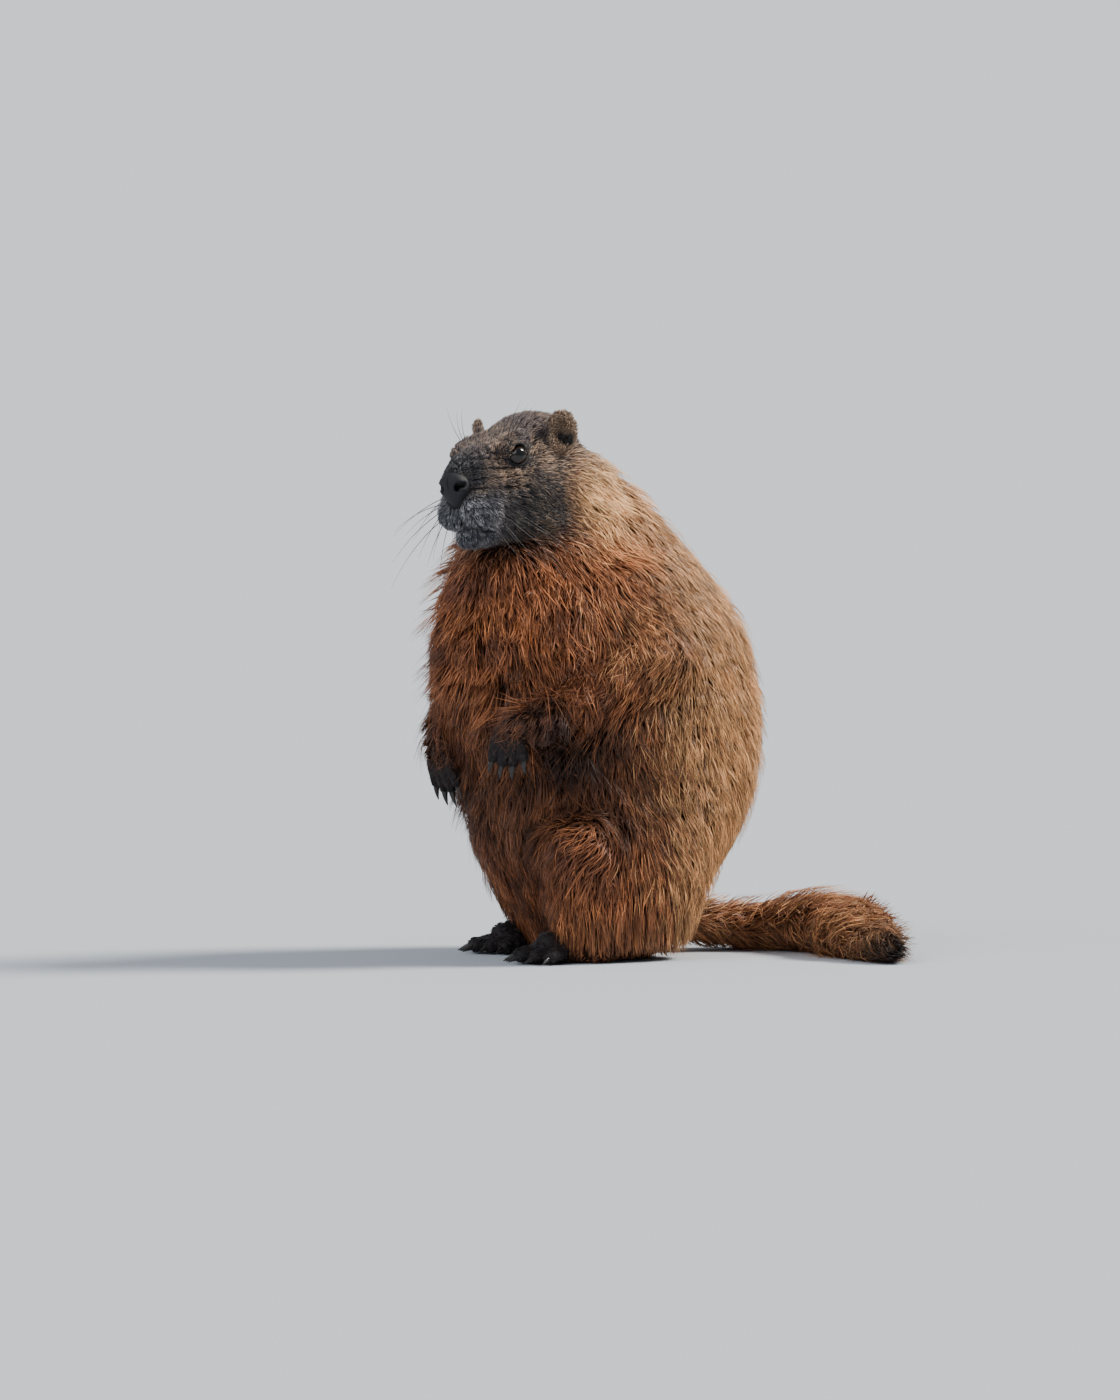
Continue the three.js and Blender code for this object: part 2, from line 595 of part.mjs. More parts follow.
// Eyes with a rim of lid round each
const ball = (centre, radius) => solidOf(new THREE.SphereGeometry(radius, 12, 8).translate(...centre));
const eyes = SIDES.map((s) => {
  const centre = headPoint(EYE_PLACE[0], EYE_PLACE[1] * s, EYE_PLACE[2]);
  const look = unit(headWay(0.36, 0.92 * s, 0.1));
  const rim = new THREE.TorusGeometry(EYE_RADIUS - 0.7, 1.5, 4, 12);
  rim.applyQuaternion(new THREE.Quaternion().setFromUnitVectors(new THREE.Vector3(0, 0, 1), new THREE.Vector3(...look)));
  rim.translate(...plus(centre, look, 2.6));
  return { side: s > 0 ? 'left' : 'right', ball: ball(centre, EYE_RADIUS), room: ball(centre, EYE_RADIUS + GAP), lid: solidOf(rim) };
});

// Nose pad, nostrils, the line of the mouth and the cleft above it
const noseForm = headForm([71.5, 0, -27], [7.5, 10, 9], 30);
const noseEnds = [headPoint(70.5, 0, -26), headPoint(72.5, 0, -28)];
const nose = wrap(noseForm, ...noseEnds, 8, 14);
const noseRoom = wrap(noseForm, ...noseEnds, 8, 14, GAP);
const nostrils = SIDES.map((s) => {
  const place = headPoint(77.4, 5.2 * s, -28.6);
  return wrap(ellipsoid(place, [4, 1.6, 2.4], headAxes(20, 35 * s)), place, plus(place, FORWARD), 6, 8);
});

function groove(starts, ways, width, depth) {
  const points = starts.map((start, i) => plus(start, ways[i], reach(head, start, ways[i]) - depth));
  return sleeve(curveThrough(points), () => [width, width], 10, 4);
}
const mouthAngles = Array.from({ length: 9 }, (_, i) => radians(-50 + i * 12.5));
const mouth = groove(mouthAngles.map(() => headPoint(42, 0, -50)),
  mouthAngles.map((a) => headWay(Math.cos(a), Math.sin(a), 0.03 - 0.5 * Math.abs(Math.sin(a)))), 1.6, 0.3);
const cleft = groove([-38, -42, -46, -50].map((up) => headPoint(45, 0, up)), Array(4).fill(headWay(1, 0, 0)), 1.1, 0.1);

let face = keep(keep(skin, NAPE_CUT, NAPE_OFFSET), THROAT_CUT, THROAT_OFFSET);
for (const eye of eyes) face = face.add(eye.lid);
for (const eye of eyes) face = face.subtract(eye.room);
face = face.subtract(noseRoom).subtract(mouth).subtract(cleft);
addNode('head', face.subtract(allCuts), materials.face);
addNode('nose', nostrils.reduce((solid, tool) => solid.subtract(tool), nose), materials.nose);
for (const eye of eyes) addNode(`eye_${eye.side}`, eye.ball, materials.eye);

// Ears: a cupped disc each, open outwards and forwards
for (const s of SIDES) {
  const place = headPoint(EAR_PLACE[0], EAR_PLACE[1] * s, EAR_PLACE[2]);
  const axes = headAxes(-8, -40 * s);
  const open = axes[1].map((v) => v * s);
  const shell = wrap(ellipsoid(place, EAR_RADII, axes), place, plus(place, axes[2]), 8, 10);
  const cup = wrap(ellipsoid(plus(plus(place, open, 4), axes[2], -1), CUP_RADII, axes), place, plus(place, axes[2]), 6, 8);
  addNode(`ear_${s > 0 ? 'left' : 'right'}`, shell.subtract(cup).subtract(headSkin(GAP)), materials.face);
}

// Corners of one surface that touch in a single place are each drawn in a little, to part them
function parted(geometry) {
  geometry.computeVertexNormals();
  const place = geometry.getAttribute('position'), normal = geometry.getAttribute('normal');
  const key = (i) => [place.getX(i), place.getY(i), place.getZ(i)].map((v) => Math.round(v / TOUCH)).join();
  const met = new Map();
  for (let i = 0; i < place.count; i += 1) met.set(key(i), (met.get(key(i)) ?? 0) + 1);
  const touching = Array.from({ length: place.count }, (_, i) => met.get(key(i)) > 1);
  touching.forEach((touches, i) => {
    if (!touches) return;
    place.setXYZ(i, ...[place.getX(i) - normal.getX(i) * DRAW_IN, place.getY(i) - normal.getY(i) * DRAW_IN,
      place.getZ(i) - normal.getZ(i) * DRAW_IN]);
  });
  return geometry;
}

// Keeps the largest closed surface; a mesh is read back until rounding pinches nothing more off it
function settled(solid) {
  let mesh = solid;
  for (let i = 0; i < 4; i += 1) mesh = largest(solidOf(parted(geometryOf(mesh))));
  return geometryOf(mesh);
}

// The figure is moved so that the middle of its box stands over the origin
const boxes = pieces.map(({ solid }) => solid.boundingBox());
const low = [0, 1, 2].map((i) => Math.min(...boxes.map((box) => box.min[i])));
const high = [0, 1, 2].map((i) => Math.max(...boxes.map((box) => box.max[i])));
const shift = [-(low[0] + high[0]) / 2, -(low[1] + high[1]) / 2, -low[2]];

const marmot = new THREE.Group();
for (const { name, solid, material } of pieces) {
  const geometry = settled(solid.translate(shift));
  geometry.computeVertexNormals();
  const mesh = new THREE.Mesh(geometry, material);
  mesh.name = name;
  marmot.add(mesh);
}

export default marmot;
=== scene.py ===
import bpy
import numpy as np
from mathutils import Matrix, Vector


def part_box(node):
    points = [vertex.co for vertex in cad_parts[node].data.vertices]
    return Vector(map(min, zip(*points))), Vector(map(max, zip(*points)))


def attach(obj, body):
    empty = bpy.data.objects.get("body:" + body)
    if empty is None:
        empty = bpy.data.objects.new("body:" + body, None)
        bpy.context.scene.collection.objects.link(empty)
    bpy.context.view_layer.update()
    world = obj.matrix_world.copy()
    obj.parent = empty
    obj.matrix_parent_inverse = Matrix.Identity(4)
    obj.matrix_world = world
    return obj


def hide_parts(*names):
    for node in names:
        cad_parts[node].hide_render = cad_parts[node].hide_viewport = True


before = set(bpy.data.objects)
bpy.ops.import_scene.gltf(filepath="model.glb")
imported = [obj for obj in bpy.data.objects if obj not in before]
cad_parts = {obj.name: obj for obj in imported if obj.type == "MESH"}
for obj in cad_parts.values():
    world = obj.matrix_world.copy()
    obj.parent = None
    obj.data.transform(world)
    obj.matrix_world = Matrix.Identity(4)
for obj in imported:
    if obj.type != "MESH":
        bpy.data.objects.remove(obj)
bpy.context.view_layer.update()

# %% [markdown]
# A yellow-bellied marmot sits up on its hind feet and looks to its left. The CAD model gave its solids;
# here one skin without a seam takes the place of all the flesh, and a coat of about a hundred thousand thin
# tufts grows out of that skin. Everything is measured in millimetres in the animal's own plan and becomes
# metres only when a mesh is made. A fresh reader may think of the whole animal as one formula: a distance
# that is negative inside the body and positive outside, from which the skin, the lie of the fur and even
# the lids of the eyes can be worked out.

rng = np.random.default_rng(20)
MM = 0.001
SIDES = (1, -1)

# %% [markdown]
# The plan is a list of simple forms: ellipsoids for masses, tapered round bars for limbs, and one profile of
# cross-sections for the trunk. A soft minimum joins them, so that muscles flow into each other instead of
# meeting in a crease. Sculpting by hand would do as well, but a formula can be asked for its surface, its
# slope or its depth at any point, and that is what combing fur needs.

# %% Distance forms
def soft_min(a, b, k):
    """Smaller of two distances, rounded where they cross: min(a, b) - h²k/4, h = max(k - |a - b|, 0)/k."""
    h = np.maximum(k - np.abs(a - b), 0) / k
    return np.minimum(a, b) - h * h * k * 0.25


def soft_max(a, b, k):
    """Larger of two distances, rounded in the same way."""
    return -soft_min(-a, -b, k)


def ellipsoid(p, centre, radii, axes=None):
    """Near distance from an ellipsoid: k0(k0 - 1)/k1, with k0 = |q/r| and k1 = |q/r²|.

    The columns of axes are the ellipsoid's own directions.
    """
    q = p - np.asarray(centre, float)
    if axes is not None:
        q = q @ axes
    r = np.maximum(np.asarray(radii, float), 0.6)
    k0 = np.linalg.norm(q / r, axis=-1)
    k1 = np.linalg.norm(q / (r * r), axis=-1) + 1e-9
    return k0 * (k0 - 1) / k1


def bar(p, a, b, ra, rb):
    """Distance from a round bar from a to b whose radius runs evenly from ra to rb."""
    a, b = np.asarray(a, float), np.asarray(b, float)
    along = b - a
    t = np.clip(((p - a) @ along) / (along @ along), 0, 1)
    return np.linalg.norm(p - a - t[..., None] * along, axis=-1) - (ra + (rb - ra) * t)


def smooth_step(low, high, v):
    """0 below low, 1 above high, and 3t² - 2t³ between."""
    t = np.clip((v - low) / (high - low), 0, 1)
    return t * t * (3 - 2 * t)


def unit(v):
    """Vectors scaled to length 1."""
    return v / (np.linalg.norm(v, axis=-1, keepdims=True) + 1e-9)


# %% The trunk, and the head's own frame
# Sections of the trunk: height, then the place of its middle to the back, half its depth and half its width.
TRUNK = np.array([
    (-10, 5, 27, 42), (30, 5, 49, 68), (65, 9.5, 77.5, 82), (110, 12.5, 99, 84), (160, 5, 109, 84),
    (205, -2, 104, 78), (245, -13, 81, 62), (270, -18, 60, 51), (294, -27, 42, 42), (322, -38, 21, 27),
], float)
TRUNK_TOP = 325
HEAD_CENTRE = np.array([3., -53., 321.])
HEAD_TURN, HEAD_ROLL = np.radians(17.0), np.radians(6.0)
FORWARD = np.array([np.sin(HEAD_TURN), -np.cos(HEAD_TURN), 0.])
LEVEL_LEFT = np.array([np.cos(HEAD_TURN), np.sin(HEAD_TURN), 0.])
HEAD_LEFT = np.cos(HEAD_ROLL) * LEVEL_LEFT + np.sin(HEAD_ROLL) * np.array([0., 0., 1.])
HEAD_UP = np.cos(HEAD_ROLL) * np.array([0., 0., 1.]) - np.sin(HEAD_ROLL) * LEVEL_LEFT
HEAD_FRAME = np.stack([FORWARD, HEAD_LEFT, HEAD_UP])


def head_point(*place):
    """A place (forward, left, up) of the head as a point of the plan."""
    return HEAD_CENTRE + np.asarray(place, float) @ HEAD_FRAME


def in_head(p):
    """Points of the plan as (forward, left, up) of the head."""
    return (p - HEAD_CENTRE) @ HEAD_FRAME.T


def head_axes(down, out=0.0):
    """Axes of a head form whose length points down by `down` and outwards by `out` degrees, as columns."""
    d, o = np.radians(down), np.radians(out)
    ahead = np.cos(d) * FORWARD - np.sin(d) * HEAD_UP
    up = np.sin(d) * FORWARD + np.cos(d) * HEAD_UP
    left = np.cos(o) * HEAD_LEFT - np.sin(o) * ahead
    return np.stack([np.cos(o) * ahead + np.sin(o) * HEAD_LEFT, left, up], axis=1)


def profile(z, column):
    """Trunk measure at height z: cubic Hermite curve through the sections with central slopes."""
    zs, vs = TRUNK[:, 0], TRUNK[:, column]
    slope = np.gradient(vs, zs)
    i = np.clip(np.searchsorted(zs, z) - 1, 0, len(zs) - 2)
    h = zs[i + 1] - zs[i]
    t = np.clip((z - zs[i]) / h, 0, 1)
    t2, t3 = t * t, t * t * t
    return ((2 * t3 - 3 * t2 + 1) * vs[i] + (t3 - 2 * t2 + t) * h * slope[i]
            + (3 * t2 - 2 * t3) * vs[i + 1] + (t3 - t2) * h * slope[i + 1])


def body_depth(z):
    """Depth of the coat over the skin at height z: 9 mm, less towards the nape."""
    return 9 - 6 * smooth_step(250, 300, z)


def trunk(p, bare):
    """Ellipse of the profile at each height, closed softly above the neck and below the seat."""
    x, y, z = p[..., 0], p[..., 1], p[..., 2]
    inset = bare * body_depth(z)
    middle, deep, wide = profile(z, 1), profile(z, 2) - inset, profile(z, 3) - inset
    k0 = np.hypot(x / wide, (y - middle) / deep)
    k1 = np.hypot(x / wide ** 2, (y - middle) / deep ** 2) + 1e-9
    d = np.where(k0 < 0.3, -0.7 * np.minimum(deep, wide), k0 * (k0 - 1) / k1)
    return soft_max(soft_max(d, z - TRUNK_TOP + inset, 30), -8 - z, 16)


# %% Head, ears and lids
EYE_RADIUS = 7.0
EYE_AT = (34.2, 20.5, -10.9)
EYE_PLACES = {s: head_point(EYE_AT[0], EYE_AT[1] * s, EYE_AT[2]) for s in SIDES}
EYE_LOOK = {s: unit(np.array([0.36, 0.92 * s, 0.1]) @ HEAD_FRAME) for s in SIDES}
LID_THICK, LID_WIDE, LID_HIGH = 0.9, 7.0, 6.0
EAR_PLACES = {s: (3, 33 * s, 1.5) for s in SIDES}
NOSE_AT = (71.5, 0, -27)
FACE_DEPTH = 1.6


def head_form(p, place, radii, down, out=0.0):
    return ellipsoid(p, head_point(*place), radii, head_axes(down, out))


def masses(s):
    """Paired masses of side s: place, radii, degrees down and out, share of the coat's depth, and blend."""
    return [
        ((14, 17 * s, -34), (30, 17, 26), 25, 6 * s, 1.0, 14),  # cheek
        ((33, 18 * s, -3), (14, 8, 5.5), 25, 8 * s, 0.5, 8),  # brow
        ((57, 9 * s, -42), (15.5, 11.5, 12), 20, 10 * s, 0.7, 5),  # whisker pad
    ]


SKULL = [
    ((40, 0, -16), (37, 18, 16), 16, 0, 1.0, 12),  # bridge
    ((50, 0, -36), (22, 20, 20), 20, 0, 1.0, 8),  # muzzle
    *masses(1), *masses(-1),
    ((53, 0, -57), (15.5, 12, 9), 15, 0, 0.7, 5),  # chin
    ((16, 0, -44), (34, 24, 18), 20, 0, 1.0, 12),  # jaw
]


def skull(p, bare):
    """The cranium, with all the other masses of the head joined to it in turn."""
    inset = bare * FACE_DEPTH
    d = head_form(p, (-1, 0, -10), np.array([35, 30.5, 26]) - inset, 20)
    for place, radii, down, out, share, blend in SKULL:
        d = soft_min(d, head_form(p, place, np.array(radii) - inset * share, down, out), blend)
    return d


def eye_axes(s):
    """Directions of an eye: where it looks, forwards and a little down along the lids, and up."""
    look = EYE_LOOK[s]
    ahead = FORWARD - 0.3 * HEAD_UP
    ahead = unit(ahead - (ahead @ look) * look)
    return look, ahead, np.cross(ahead, look) * s


def with_lids(d, p, s):
    """Lids are a shell over the ball, opened down to the ball by an almond: the overlap of two circles."""
    look, ahead, up = eye_axes(s)
    q = p - EYE_PLACES[s]
    a, b, c = q @ ahead, q @ up, q @ look
    apart = (LID_WIDE ** 2 / LID_HIGH - LID_HIGH) / 2
    almond = np.maximum(np.hypot(a, b + apart), np.hypot(a, b - apart)) - LID_HIGH - apart
    from_eye = np.linalg.norm(q, axis=-1)
    room = np.maximum(np.maximum(almond, -c), EYE_RADIUS - 0.6 - from_eye)
    d = soft_min(d, from_eye - EYE_RADIUS - LID_THICK, 4)
    crease = np.abs(np.hypot(a, b) - LID_WIDE - 2.6) - 0.3
    d = np.where((b > 1) & (c > 0), soft_max(d, -np.maximum(crease, -c) - 0.9, 1.2), d)
    duct = ahead * (LID_WIDE + 2.6) - up * 0.8 + look * 2.2
    corner = bar(q, ahead * (LID_WIDE - 1) + look * 3.0, duct, 0.9, 0.4)
    return soft_max(soft_max(d, -room, 0.7), -corner, 0.8)


def ears(p, bare):
    """Two small cupped discs."""
    d = np.full(p.shape[:-1], 1e3)
    for s in SIDES:
        inset = bare * 0.8
        axes = head_axes(-8, -40 * s)
        place = head_point(*EAR_PLACES[s])
        disc = ellipsoid(p, place, np.array([10.5, 4.5, 14]) - inset, axes)
        hollow = ellipsoid(p, place + axes[:, 1] * s * 4 - axes[:, 2], [7.4, 5, 10], axes)
        d = np.minimum(d, soft_max(disc, -hollow, 1.5))
    return d


def head(p, bare):
    """Skull with eye sockets and ears."""
    d = skull(p, bare)
    for s in SIDES:
        d = soft_max(d, -head_form(p, (34.5, 27.5 * s, -10.9), (7, 4, 6.5), 20, 10 * s), 4)
    return soft_min(d, ears(p, bare), 4)


# %% Limbs and tail
ARMS = (
    dict(side="left", points=[(48, -8, 218), (66, 0, 188), (57, -70, 148), (48, -89, 147)],
         row=(4.5, 3.6, 0), digit=(-1, -3, -21)),
    dict(side="right", points=[(-48, -8, 218), (-66, -4, 186), (-36, -80, 148), (-25, -92, 130)],
         row=(6, 0.5, 0), digit=(2, 4, -23)),
)
ARM_RADII = (30, 23, 13, 11)
ARM_DEPTHS = (8, 6, 3.5, 2.5)
LEGS = (
    dict(side="left", sign=1, toes=-88, ankle=(52, -36, 10), ankle_radius=24,
         hip=(48, -3.4, 50), thigh=(36, 52, 56), knee=(55, -44, 66), knee_radius=26),
    dict(side="right", sign=-1, toes=-58, ankle=(46, 12, 10), ankle_radius=21,
         hip=(44, 9, 58), thigh=(30, 42, 46), knee=(50, -22, 74), knee_radius=24),
)
FOOT_LENGTH = 74
TAIL_PATH = np.array([(-2, 44, 26), (4, 84, 18), (14, 106, 15), (32, 128, 15), (56, 138, 15),
                      (84, 134, 15), (116, 124, 12), (152, 112, 8), (172, 106, 6)], float)
TAIL_WIDTH = np.array([16, 15, 17, 22, 27, 28, 24, 14, 3], float)
TAIL_CORE = 0.62
FLAT_TAIL = 1.4


FINGER_SHARES = (0.86, 1.0, 1.0, 0.84)


def finger_lines(arm):
    """Base and tip of each of the four fingers, which lie close at the knuckles and part towards the tips."""
    row, lines = np.array(arm["row"], float), []
    for i, share in enumerate(FINGER_SHARES):
        knuckle = np.array(arm["points"][3]) + (0, -3, -2)
        tip = knuckle + row * (i - 1.5) + (np.array(arm["digit"]) + row * (i - 1.5) * 0.16) * share
        lines.append((knuckle + row * (i - 1.5) * 0.75, tip))
    return lines


def toe_lines(leg):
    """Base and tip of each of the five toes."""
    lines = []
    for i in range(5):
        k = i - 2
        base = np.array([(45 + k * 6.0) * leg["sign"], leg["toes"] + 26, 7.0])
        lines.append((base, np.array([(46 + k * 8.5) * leg["sign"], leg["toes"] + abs(k) * 5 + 4, 4.8])))
    return lines


def arm_form(p, arm, bare):
    r = np.array(ARM_RADII) - bare * np.array(ARM_DEPTHS)
    a = arm["points"]
    d = soft_min(bar(p, a[0], a[1], r[0], r[1]), bar(p, a[1], a[2], r[1], r[2]), 10)
    return soft_min(d, bar(p, a[2], a[3], r[2], r[3]), 6)


def hand_form(p, arm, bare):
    a = arm["points"]
    d = bar(p, a[2], a[3], 12 - bare * 2.5, 11 - bare * 2.5)
    for base, tip in finger_lines(arm):
        middle = (base + tip) / 2 + (0, -2.4 * bare, 0)
        finger = np.minimum(bar(p, base, middle, 4.7 - bare * 0.9, 4.2 - bare * 1.2),
                            bar(p, middle, tip, 4.2 - bare * 1.2, 3.4 - bare * 0.5))
        d = soft_min(d, finger, 1.0)
    return d


def leg_form(p, leg, bare):
    inset = bare * 9
    hip, knee, ankle = (np.array(leg[key]) * (leg["sign"], 1, 1) for key in ("hip", "knee", "ankle"))
    d = ellipsoid(p, hip, np.array(leg["thigh"]) - inset)
    return soft_min(d, bar(p, knee, ankle, leg["knee_radius"] - inset, leg["ankle_radius"] - inset), 16)


def foot_form(p, leg, bare):
    sign, heel = leg["sign"], leg["toes"] + FOOT_LENGTH
    d = bar(p, (48 * sign, heel - 6, 10), (45 * sign, leg["toes"] + 26, 9), 12 - bare, 11 - bare)
    for base, tip in toe_lines(leg):
        d = soft_min(d, bar(p, base, tip, 5.5 - bare * 0.7, 4.5 - bare * 0.5), 2.5)
    return soft_max(d, -p[..., 2], 2)


def tail_form(p, bare):
    """Chain of bars along the tail's path, lower than wide."""
    q = p * (1, 1, FLAT_TAIL)
    size = TAIL_WIDTH * (1 - bare * (1 - TAIL_CORE))
    path = TAIL_PATH * (1, 1, FLAT_TAIL)
    d = bar(q, path[0], path[1], size[0], size[1])
    for i in range(1, len(path) - 1):
        d = soft_min(d, bar(q, path[i], path[i + 1], size[i], size[i + 1]), 6)
    return soft_max(d / 1.2, -p[..., 2] + bare * 1.5, 3)


BODY, HEAD, ARM, HAND, LEG, FOOT, TAIL = range(7)
PART_BLENDS = {HEAD: 12, ARM: 12, HAND: 3, LEG: 16, FOOT: 4, TAIL: 6}


def nearer(form, pair, p, bare):
    """Distance from the nearer of a pair of limbs."""
    return np.minimum(form(p, pair[0], bare), form(p, pair[1], bare))


def part_distances(p, bare):
    """Distance of each point from each part, one column a part."""
    limbs = [nearer(form, pair, p, bare) for form, pair in
             ((arm_form, ARMS), (hand_form, ARMS), (leg_form, LEGS), (foot_form, LEGS))]
    return np.stack([trunk(p, bare), head(p, bare), *limbs, tail_form(p, bare)], axis=-1)


def figure(p, bare=0.0):
    """The whole body out to the tips of its coat, or with bare=1 down to the skin."""
    d = part_distances(p, bare)
    whole = d[..., BODY]
    for part, blend in PART_BLENDS.items():
        whole = soft_min(whole, d[..., part], blend)
    return soft_max(whole, -p[..., 2] + bare * 0.3, 2)


TETRA = np.array([(1, -1, -1), (-1, -1, 1), (-1, 1, -1), (1, 1, 1)], float)


def slope(form, p, h=0.8):
    """Unit outward direction: sum of e·f(p + h·e) over the four corners e of a tetrahedron."""
    return unit(sum(e * form(p + h * e)[..., None] for e in TETRA))


def to_level(form, p, level, times=1):
    """Moves points along the slope until the form has the given level there."""
    for _ in range(times):
        p = p + slope(form, p) * (level - form(p))[..., None]
    return p


RAY_STEPS = 60


def ray_out(form, origin, ways, far=90.0):
    """Where rays from inside leave the form: each step goes out by nine tenths of the distance to it."""
    t = np.zeros(len(ways))
    for _ in range(RAY_STEPS):
        t = np.minimum(t + np.maximum(-form(origin + ways * t[:, None]), 0) * 0.9 + 0.01, far)
    return origin + ways * t[:, None]


# %% Mouth and cleft, traced on the muzzle
def mouth_paths():
    """The line of the mouth from corner to corner, and the cleft from the nose down to it."""
    turn = np.radians(np.linspace(-50, 50, 17))
    ways = unit(np.stack([np.cos(turn), np.sin(turn), 0.03 - 0.5 * np.abs(np.sin(turn))], 1)) @ HEAD_FRAME
    line = ray_out(lambda q: skull(q, 1.0), head_point(42, 0, -50), ways)
    cleft = np.concatenate([ray_out(lambda q: skull(q, 1.0), head_point(45, 0, up), FORWARD[None])
                            for up in (-36, -39, -42, -45, -48, -50)])
    return line, cleft


MOUTH, CLEFT = mouth_paths()


def along_path(p, path, radius):
    """Distance from a chain of thin bars."""
    d = bar(p, path[0], path[1], radius, radius)
    for a, b in zip(path[1:-1], path[2:]):
        d = np.minimum(d, bar(p, a, b, radius, radius))
    return d


def from_eyes(p):
    """Distance to the middle of the nearer eye."""
    return np.minimum(*(np.linalg.norm(p - EYE_PLACES[s], axis=-1) for s in SIDES))


def from_lips(p, more=0.0):
    """Distance to the line of the mouth, or to the cleft and so much more."""
    return np.minimum(along_path(p, MOUTH, 0), along_path(p, CLEFT, 0) + more)


def nose_bulk(p):
    """Leather of the nose without its openings: a rounded block, flat in front, that narrows to the cleft."""
    d = head_form(p, NOSE_AT, (8.6, 10.0, 8.2), 20)
    d = soft_min(d, head_form(p, (70.5, 0, -34.5), (5.5, 4.2, 5.5), 60), 5)
    return soft_max(d, (in_head(p) - NOSE_AT) @ np.array([0.96, 0, -0.28]) - 5.6, 4)


def nostrils(p):
    """Two comma-shaped openings: a round hole in front and a slit that runs back from it."""
    d = np.full(p.shape[:-1], 1e3)
    for s in SIDES:
        hole = head_form(p, (76.0, 5.4 * s, -28.6), (4.2, 1.5, 2.1), 10, 30 * s)
        slit = head_form(p, (74.2, 7.4 * s, -27.6), (4.6, 2.6, 0.9), 5, 55 * s)
        d = np.minimum(d, soft_min(hole, slit, 1.0))
    return d


def skin_form(p):
    """Bare skin with lids, the grooves of mouth and cleft, and a swelling that carries the nose."""
    d = figure(p, 1.0)
    near = np.linalg.norm(p - head_point(45, 0, -30), axis=-1) < 62
    if near.any():
        q, e = p[near], d[near]
        for s in SIDES:
            e = with_lids(e, q, s)
        e = soft_max(e, -along_path(q, MOUTH, 0.8), 1.4)
        e = soft_max(e, -along_path(q, CLEFT, 0.8), 1.2)
        e = soft_max(soft_min(e, nose_bulk(q) + 0.9, 6), -nostrils(q) + 0.4, 1)
        d[near] = e
    return d


print("mouth from", np.round(MOUTH[0], 1), "to", np.round(MOUTH[-1], 1))

# %% [markdown]
# The skin is drawn where the distance is zero. A box of small cubes is laid over the body, each cube that
# the surface crosses gives one vertex, and neighbours are joined by squares. Then only the edges that are
# too long for their place, such as those at the lids, lips and nose, are halved. That keeps the mesh closed
# everywhere and puts the detail where the eye looks for it; one even grid fine enough for the lids would
# need millions of faces.

# %% The skin's mesh
def surface_net(form, low, high, step):
    """One vertex for each crossed cube, at the mean of its crossed edges; one square for each such edge."""
    axes = [np.arange(a, b + step, step) for a, b in zip(low, high)]
    shape = np.array([len(a) for a in axes])
    block = 5
    coarse_axes = [a[::block] + step * block / 2 for a in axes]
    coarse = np.stack(np.meshgrid(*coarse_axes, indexing="ij"), -1)
    rough = form(coarse.reshape(-1, 3)).reshape(coarse.shape[:-1])
    for axis in range(3):
        rough = np.repeat(rough, block, axis)
    rough = rough[:shape[0], :shape[1], :shape[2]]
    value = np.where(rough > 0, 50.0, -50.0)
    close = np.abs(rough) < step * block * 1.5
    places = np.argwhere(close)
    points = np.stack([axes[k][places[:, k]] for k in range(3)], 1)
    value[tuple(places.T)] = form(points)
    inside = value < 0
    total, count = np.zeros((*shape, 3)), np.zeros(shape)
    crossed = []
    for axis in range(3):
        ahead = [slice(None)] * 3
        here = [slice(None)] * 3
        ahead[axis], here[axis] = slice(1, None), slice(None, -1)
        at = np.argwhere(inside[tuple(here)] != inside[tuple(ahead)])
        a = value[tuple(at.T)]
        nxt = at.copy()
        nxt[:, axis] += 1
        b = value[tuple(nxt.T)]
        place = at.astype(float)
        place[:, axis] += a / (a - b)
        crossed.append((axis, at, a < 0))
        others = [k for k in range(3) if k != axis]
        for da in (0, 1):
            for db in (0, 1):
                cell = at.copy()
                cell[:, others[0]] -= da
                cell[:, others[1]] -= db
                np.add.at(total, tuple(cell.T), place)
                np.add.at(count, tuple(cell.T), 1)
    cells = np.argwhere(count > 0)
    number = np.full(shape, -1)
    number[tuple(cells.T)] = np.arange(len(cells))
    verts = total[tuple(cells.T)] / count[tuple(cells.T)][:, None] * step + np.array(low)
    faces = []
    for axis, at, out_ahead in crossed:
        u, v = [(1, 2), (2, 0), (0, 1)][axis]
        corners = []
        for du, dv in ((0, 0), (1, 0), (1, 1), (0, 1)):
            cell = at.copy()
            cell[:, u] -= du
            cell[:, v] -= dv
            corners.append(number[tuple(cell.T)])
        quad = np.stack(corners, 1)
        quad[~out_ahead] = quad[~out_ahead][:, ::-1]
        faces += [quad[:, [0, 1, 2]], quad[:, [0, 2, 3]]]
    return verts, np.concatenate(faces)


